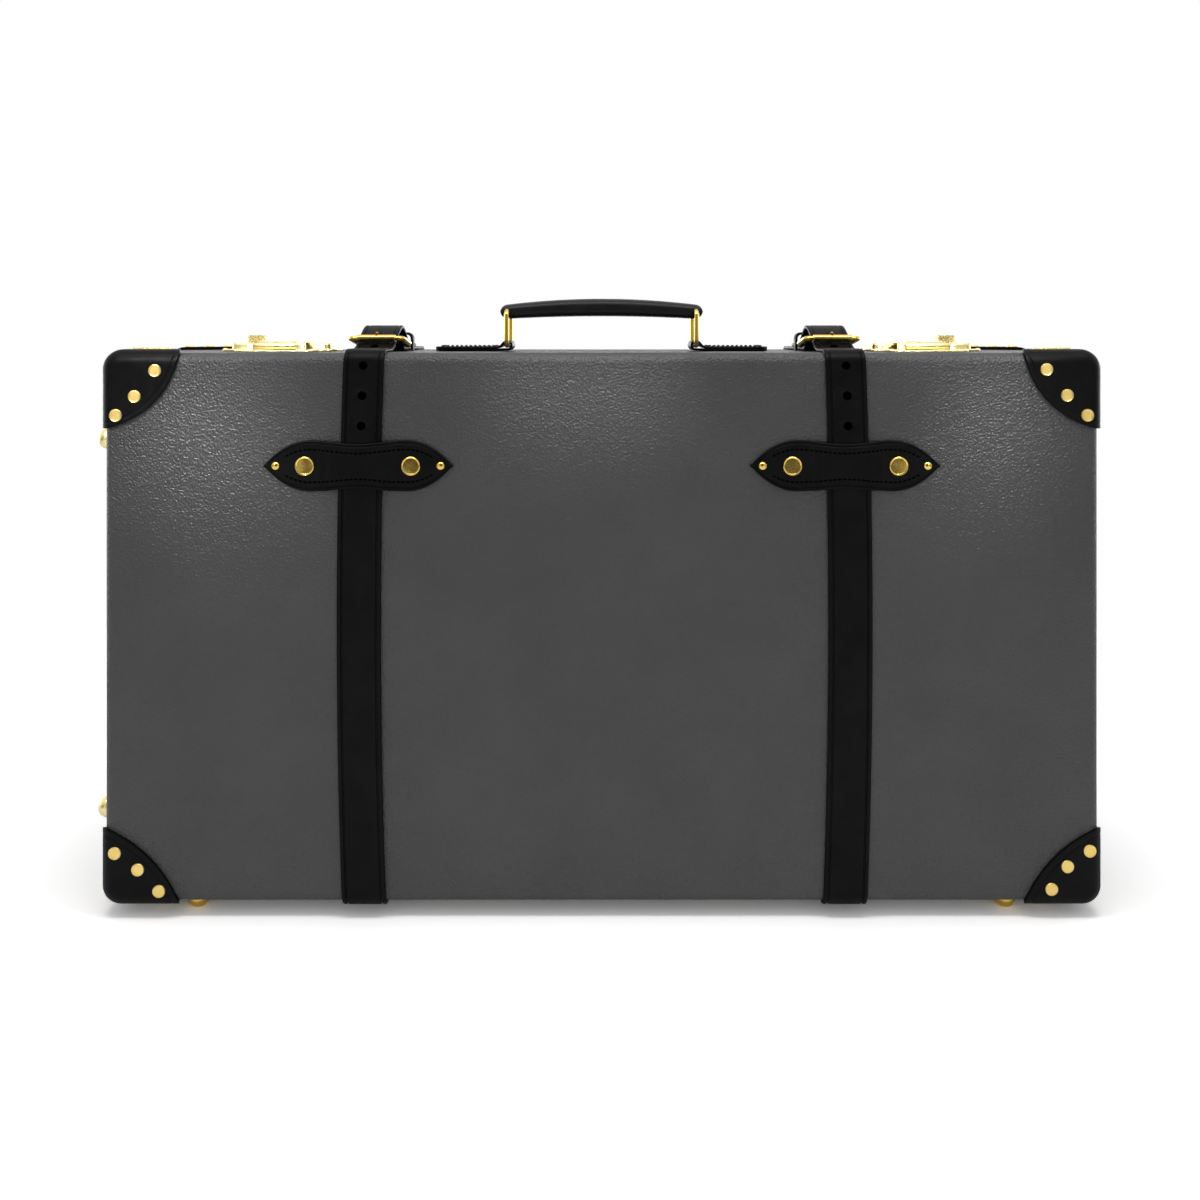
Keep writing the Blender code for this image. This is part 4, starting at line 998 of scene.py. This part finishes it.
def grip_point(u, share, angle):
    bow = max(1 - (u / RING_X) ** 2, 0.0)
    tall = (GRIP_END_HALF + (GRIP_MID_HALF - GRIP_END_HALF) * bow) * share
    wide = GRIP_HALF_DEPTH * (1 - GRIP_NARROW * bow) * (0.8 + 0.2 * share)
    c, s = cos(angle), sin(angle)
    across, up = GRIP_ABOVE if s > 0 else GRIP_BELOW
    return Vector((
        CENTRE_X + u,
        HANDLE_Y + wide * copysign(abs(c) ** across, c),
        TOP + RING_HIGH + GRIP_ARCH * bow + tall * copysign(abs(s) ** up, s),
    ))


nose = [radians(a) for a in (86, 78, 68, 56, 42, 28, 14)]
even = [2 * k / GRIP_STEPS - 1 for k in range(GRIP_STEPS + 1)]
grip_stations = [(-RING_X - GRIP_END_HALF * sin(a), cos(a)) for a in nose]
grip_stations += [(RING_X * along, 1.0) for along in even]
grip_stations += [(RING_X + GRIP_END_HALF * sin(a), cos(a)) for a in nose[::-1]]
piece("grip", loft([
    [grip_point(u, share, 2 * pi * n / GRIP_SIDES) for n in range(GRIP_SIDES)]
    for u, share in grip_stations
]), "grip_leather", "handle_grip", ["handle_grip"], sharp=50)
rows = []
for degrees in GRIP_SEAMS:
    angle = radians(degrees)
    points = [grip_point(RING_X * GRIP_SEAM_REACH * along, 1.0, angle) for along in even]
    out = Vector((0, cos(angle), sin(angle))).normalized()
    rows.append(stitch_row(points, out, *GRIP_STITCH))
piece("grip_stitches", joined(rows), "thread", "handle_grip")

curl = RING_WIRE + RING_PLAY + CHAPE_LEATHER / 2
under, over = FIT + CHAPE_LAYER / 2, FIT + CHAPE_LAYER * 1.5
chape = [(CHAPE_LENGTH, under), (0.01, under), (0.004, under + 0.0002)]
chape += [
    (curl * cos(a), RING_LOW + curl * sin(a))
    for a in (radians(CURL_FROM - CURL_TURN * k / CURL_STEPS) for k in range(CURL_STEPS + 1))
]
chape += [(0.0034, RING_LOW + curl * 0.62), (0.0058, over + 0.0016), (0.009, over + 0.0003),
          (0.013, over), (CHAPE_LENGTH, over)]
chape = resampled(chape, FINE_STEP)
tab = [CHAPE_HALF * (0.55 + 0.45 * sqrt(smooth((CHAPE_LENGTH - u) / TAB_ROUND))) for u, _ in chape]
chape_ends = (CHAPE_LENGTH - TAB_ROUND, CHAPE_STITCH_END)
run = resampled([(end, over) for end in chape_ends], FINE_STEP)
edge = CHAPE_HALF - CHAPE_STITCH_IN
end_edge = edge - CHAPE_STITCH_GAP

for side, sign in SIDES:
    x = CENTRE_X + sign * RING_X
    ring_points = [(x, HANDLE_Y + u, TOP + ring_mid + v) for u, v in ring_shape]
    piece(f"ring_{side}", tube(ring_points, RING_WIRE, 20), "brass", f"handle_ring_{side}",
          [f"handle_ring_{side}"])

    def on_top(u, v, w, x=x, sign=sign):
        return x + sign * u, HANDLE_Y + w, TOP + v

    piece(f"chape_{side}", swept(chape, tab, CHAPE_LAYER, on_top), "leather", "base",
          [f"handle_chape_{side}"])
    rows = []
    for way in (-1, 1):
        points = [on_top(u, v + CHAPE_LAYER / 2, way * edge) for u, v in run]
        rows.append(stitch_row(points, (0, 0, 1), *CHAPE_STITCH))
    for u in chape_ends:
        points = [on_top(u, over + CHAPE_LAYER / 2, w) for w in (-end_edge, end_edge)]
        rows.append(stitch_row(points, (0, 0, 1), *CHAPE_STITCH))
    piece(f"chape_stitches_{side}", joined(rows), "thread", "base")


# The locks, the hinges and the inner frame keep their solids, and the first two get their pins

# Start of the solid's name, finish and width of the eased edges
# The locks take the paler brass, a painted highlight; the slide's knurled brass is as pale
KEPT_SOLIDS = (("lock_slide", "knurl", 0.0004), ("lock_", "brass_with_painted_highlight", 0.0004), ("hinge_", "brass", 0.0004),
               ("base_frame", "wood", 0.0005))
for name, node in frame["nodes"].items():
    for start, finish, ease in KEPT_SOLIDS:
        if name.startswith(start):
            node.data.materials.clear()
            node.data.materials.append(FINISHES[finish][0])
            eased(node, ease)
            if finish != "wood":
                node.data.shade_smooth()
            break

PLATE_PIN = [(-0.0003, 0.0022), (0.0002, 0.0022), (0.0007, 0.0019), (0.001, 0.0012), (0.0011, 0.0)]
PIN_SIDES, PIN_IN, LOCK_PIN_IN, LID_PIN_IN, HINGE_PIN_IN = 20, 0.0045, 0.003, 0.0035, 0.007
HINGE_PIN_SHARE = 0.7
plate_top = TOP + FIT + LOCK_PLATE


def corner_pins(x, half, front, depth):
    """A pin near each corner of a plate on top of the case."""
    return joined([
        turned((x + way * half, y, plate_top), (0, 0, 1), PLATE_PIN, PIN_SIDES)
        for way in (-1, 1)
        for y in (front + PIN_IN, front + depth - PIN_IN)
    ])


for side, sign in SIDES:
    # The pins take the paler brass, a painted highlight
    lock_pins = corner_pins(CENTRE_X + sign * LOCK_X, LOCK_PLATE_HALF - LOCK_PIN_IN, SEAM + LOCK_FRONT,
                            LOCK_PLATE_DEPTH)
    piece(f"lock_pins_{side}", lock_pins, "brass_with_painted_highlight", "base")
    plate_pins = corner_pins(CENTRE_X + sign * (LOCK_X - HASP_IN), LID_PLATE_HALF - LID_PIN_IN,
                             SEAM - LID_PLATE_FRONT, LID_PLATE_DEPTH)
    piece(f"plate_pins_{side}", plate_pins, "brass_with_painted_highlight", "lid")

    hinge_x = CENTRE_X + sign * HINGE_X
    for half, way in (("lid", -1), ("base", 1)):
        y = SEAM + way * (HINGE_LEAF_DEPTH - HINGE_PIN_IN)
        pins = [
            turned((hinge_x + spot, y, BOTTOM - FIT - HINGE_LEAF), (0, 0, -1), PLATE_PIN, PIN_SIDES)
            for spot in (-HINGE_HALF * HINGE_PIN_SHARE, 0.0, HINGE_HALF * HINGE_PIN_SHARE)
        ]
        piece(f"hinge_pins_{half}_{side}", joined(pins), "brass", half)


# Studio

def studio_floor():
    """White paper, overexposed so that only the shadow shows, and cut out over what opens below it."""
    made = bpy.data.materials.new("studio_floor")
    made.use_nodes = True
    tree = made.node_tree
    rays = add_node(tree, "LightPath").outputs
    mirrored = between(tree, rays["Is Glossy Ray"], FLOOR_WHITE, FLOOR_MIRRORED, (0.0, 1.0))
    white = between(tree, rays["Is Camera Ray"], mirrored, FLOOR_SEEN, (0.0, 1.0))
    paper = add_node(tree, "BsdfDiffuse", {"Color": white}).outputs[0]
    under = add_node(tree, "AmbientOcclusion", {"Distance": FLOOR_DEPTH}, samples=48, inside=True)
    whole = maths(tree, "GREATER_THAN", under.outputs["AO"], 0.999)
    hole = add_node(tree, "BsdfTransparent").outputs[0]
    cut = add_node(tree, "MixShader", {0: whole, 1: hole, 2: paper}).outputs[0]
    shown = add_node(tree, "MixShader", {0: rays["Is Camera Ray"], 1: paper, 2: cut}).outputs[0]
    tree.links.new(shown, tree.nodes["Material Output"].inputs["Surface"])
    return made


# How white the floor is to light, in reflections and to the camera, and how far below it pieces show
FLOOR_WHITE, FLOOR_MIRRORED, FLOOR_SEEN, FLOOR_DEPTH = 0.75, 1.15, 1.8, 0.9
FLOOR_SIDE, FLOOR_FRONT, FLOOR_BACK = 1.8, -1.6, 0.9
WORLD_LIGHT, MIRROR_FRONT, MIRROR_ROUND, MIRROR_BACK = 0.42, 0.1, 1.0, 3.4

floor_mesh = bpy.data.meshes.new("floor")
floor_mesh.from_pydata([
    (-FLOOR_SIDE, FLOOR_FRONT, 0), (FLOOR_SIDE, FLOOR_FRONT, 0),
    (FLOOR_SIDE, FLOOR_BACK, 0), (-FLOOR_SIDE, FLOOR_BACK, 0),
], [], [(0, 1, 2, 3)])
floor_mesh.materials.append(studio_floor())
floor = put("floor", floor_mesh)
floor.visible_shadow = False

# The room is white to the camera. In reflections it is white above, bright at eye level behind, dark in front
world = bpy.data.worlds.new("studio")
bpy.context.scene.world = world
world.use_nodes = True
tree = world.node_tree
sky = tree.nodes["Background"]
rays = add_node(tree, "LightPath").outputs
place = add_node(tree, "TexCoord").outputs["Generated"]
way = add_node(tree, "SeparateXYZ", {0: place}).outputs
raised = maths(tree, "MULTIPLY_ADD", way["Z"], 0.6, way["Y"])
facing = between(tree, raised, MIRROR_FRONT, MIRROR_ROUND, (-0.6, 0.0))
low = between(tree, maths(tree, "ABSOLUTE", way["Z"]), MIRROR_BACK, 0.0, (0.06, 0.24))
behind = between(tree, way["Y"], 0.0, low, (0.05, 0.5))
mirrored = maths(tree, "ADD", facing, behind)
upper = between(tree, way["Z"], 0.0, WORLD_LIGHT, (-0.01, 0.01))
glossy = add_node(tree, "Mix", {0: rays["Is Glossy Ray"], 2: upper, 3: mirrored}, data_type="FLOAT")
seen = maths(tree, "MAXIMUM", rays["Is Camera Ray"], rays["Is Transmission Ray"])
level = add_node(tree, "Mix", {0: seen, 2: glossy.outputs[0], 3: 1.0}, data_type="FLOAT")
tree.links.new(level.outputs[0], sky.inputs["Strength"])
sky.inputs["Color"].default_value = (1.0, 1.0, 1.0, 1.0)


def lamp(name, at, aim, size, power, spread=180, matt=True, mirrored=True):
    light = bpy.data.lights.new(name, "AREA")
    light.shape = "RECTANGLE"
    light.size, light.size_y = size
    light.energy = power
    light.spread = radians(spread)
    obj = put(name, light)
    obj.location = at
    obj.rotation_euler = (Vector(aim) - Vector(at)).to_track_quat("-Z", "Y").to_euler()
    obj.visible_diffuse = matt
    obj.visible_glossy = mirrored


lamp("overhead", (0.0, -0.12, 1.7), (0.0, -0.05, 0.4), (1.8, 0.5), 13.0, mirrored=False)
lamp("rim_strip", (0.0, -0.62, 1.58), (0.0, -0.1, 0.47), (1.9, 0.4), 16.0, matt=False)
lamp("low_fill", (0.0, -1.6, 0.15), (0.0, -0.1, 0.05), (2.4, 0.3), 8.0, mirrored=False)
lamp("spot_left", (-0.44, -0.42, 0.66), (-0.335, -0.1, 0.392), (0.11, 0.08), 0.137, 22, matt=False)
lamp("spot_middle", (-0.01, -0.48, 0.69), (-0.01, -0.1, 0.436), (0.14, 0.05), 0.046, 15, matt=False)
lamp("spot_right", (0.42, -0.38, 0.66), (0.335, -0.1, 0.402), (0.06, 0.06), 0.062, 22, matt=False)
for across in (-1, 1):
    lamp("side_panel", (across * 1.65, -2.5, 0.55), (0.0, -0.1, 0.4), (1.2, 2.2), 6.0)
    lamp("lock_spot", (across * 0.285, -0.42, 0.61), (across * 0.285, -0.08, 0.488), (0.08, 0.05), 0.01, 14,
         matt=False)

camera = bpy.data.cameras.new("camera")
camera.sensor_width = 36.0
camera.lens = 32.43
camera.shift_y = -0.2225
eye = put("camera", camera)
eye.location = (0.0026, -1.01, 0.4916)
eye.rotation_euler = (radians(90), 0.0, 0.0)
bpy.context.scene.camera = eye
bpy.context.scene.view_settings.view_transform = "Standard"

bpy.context.view_layer.update()
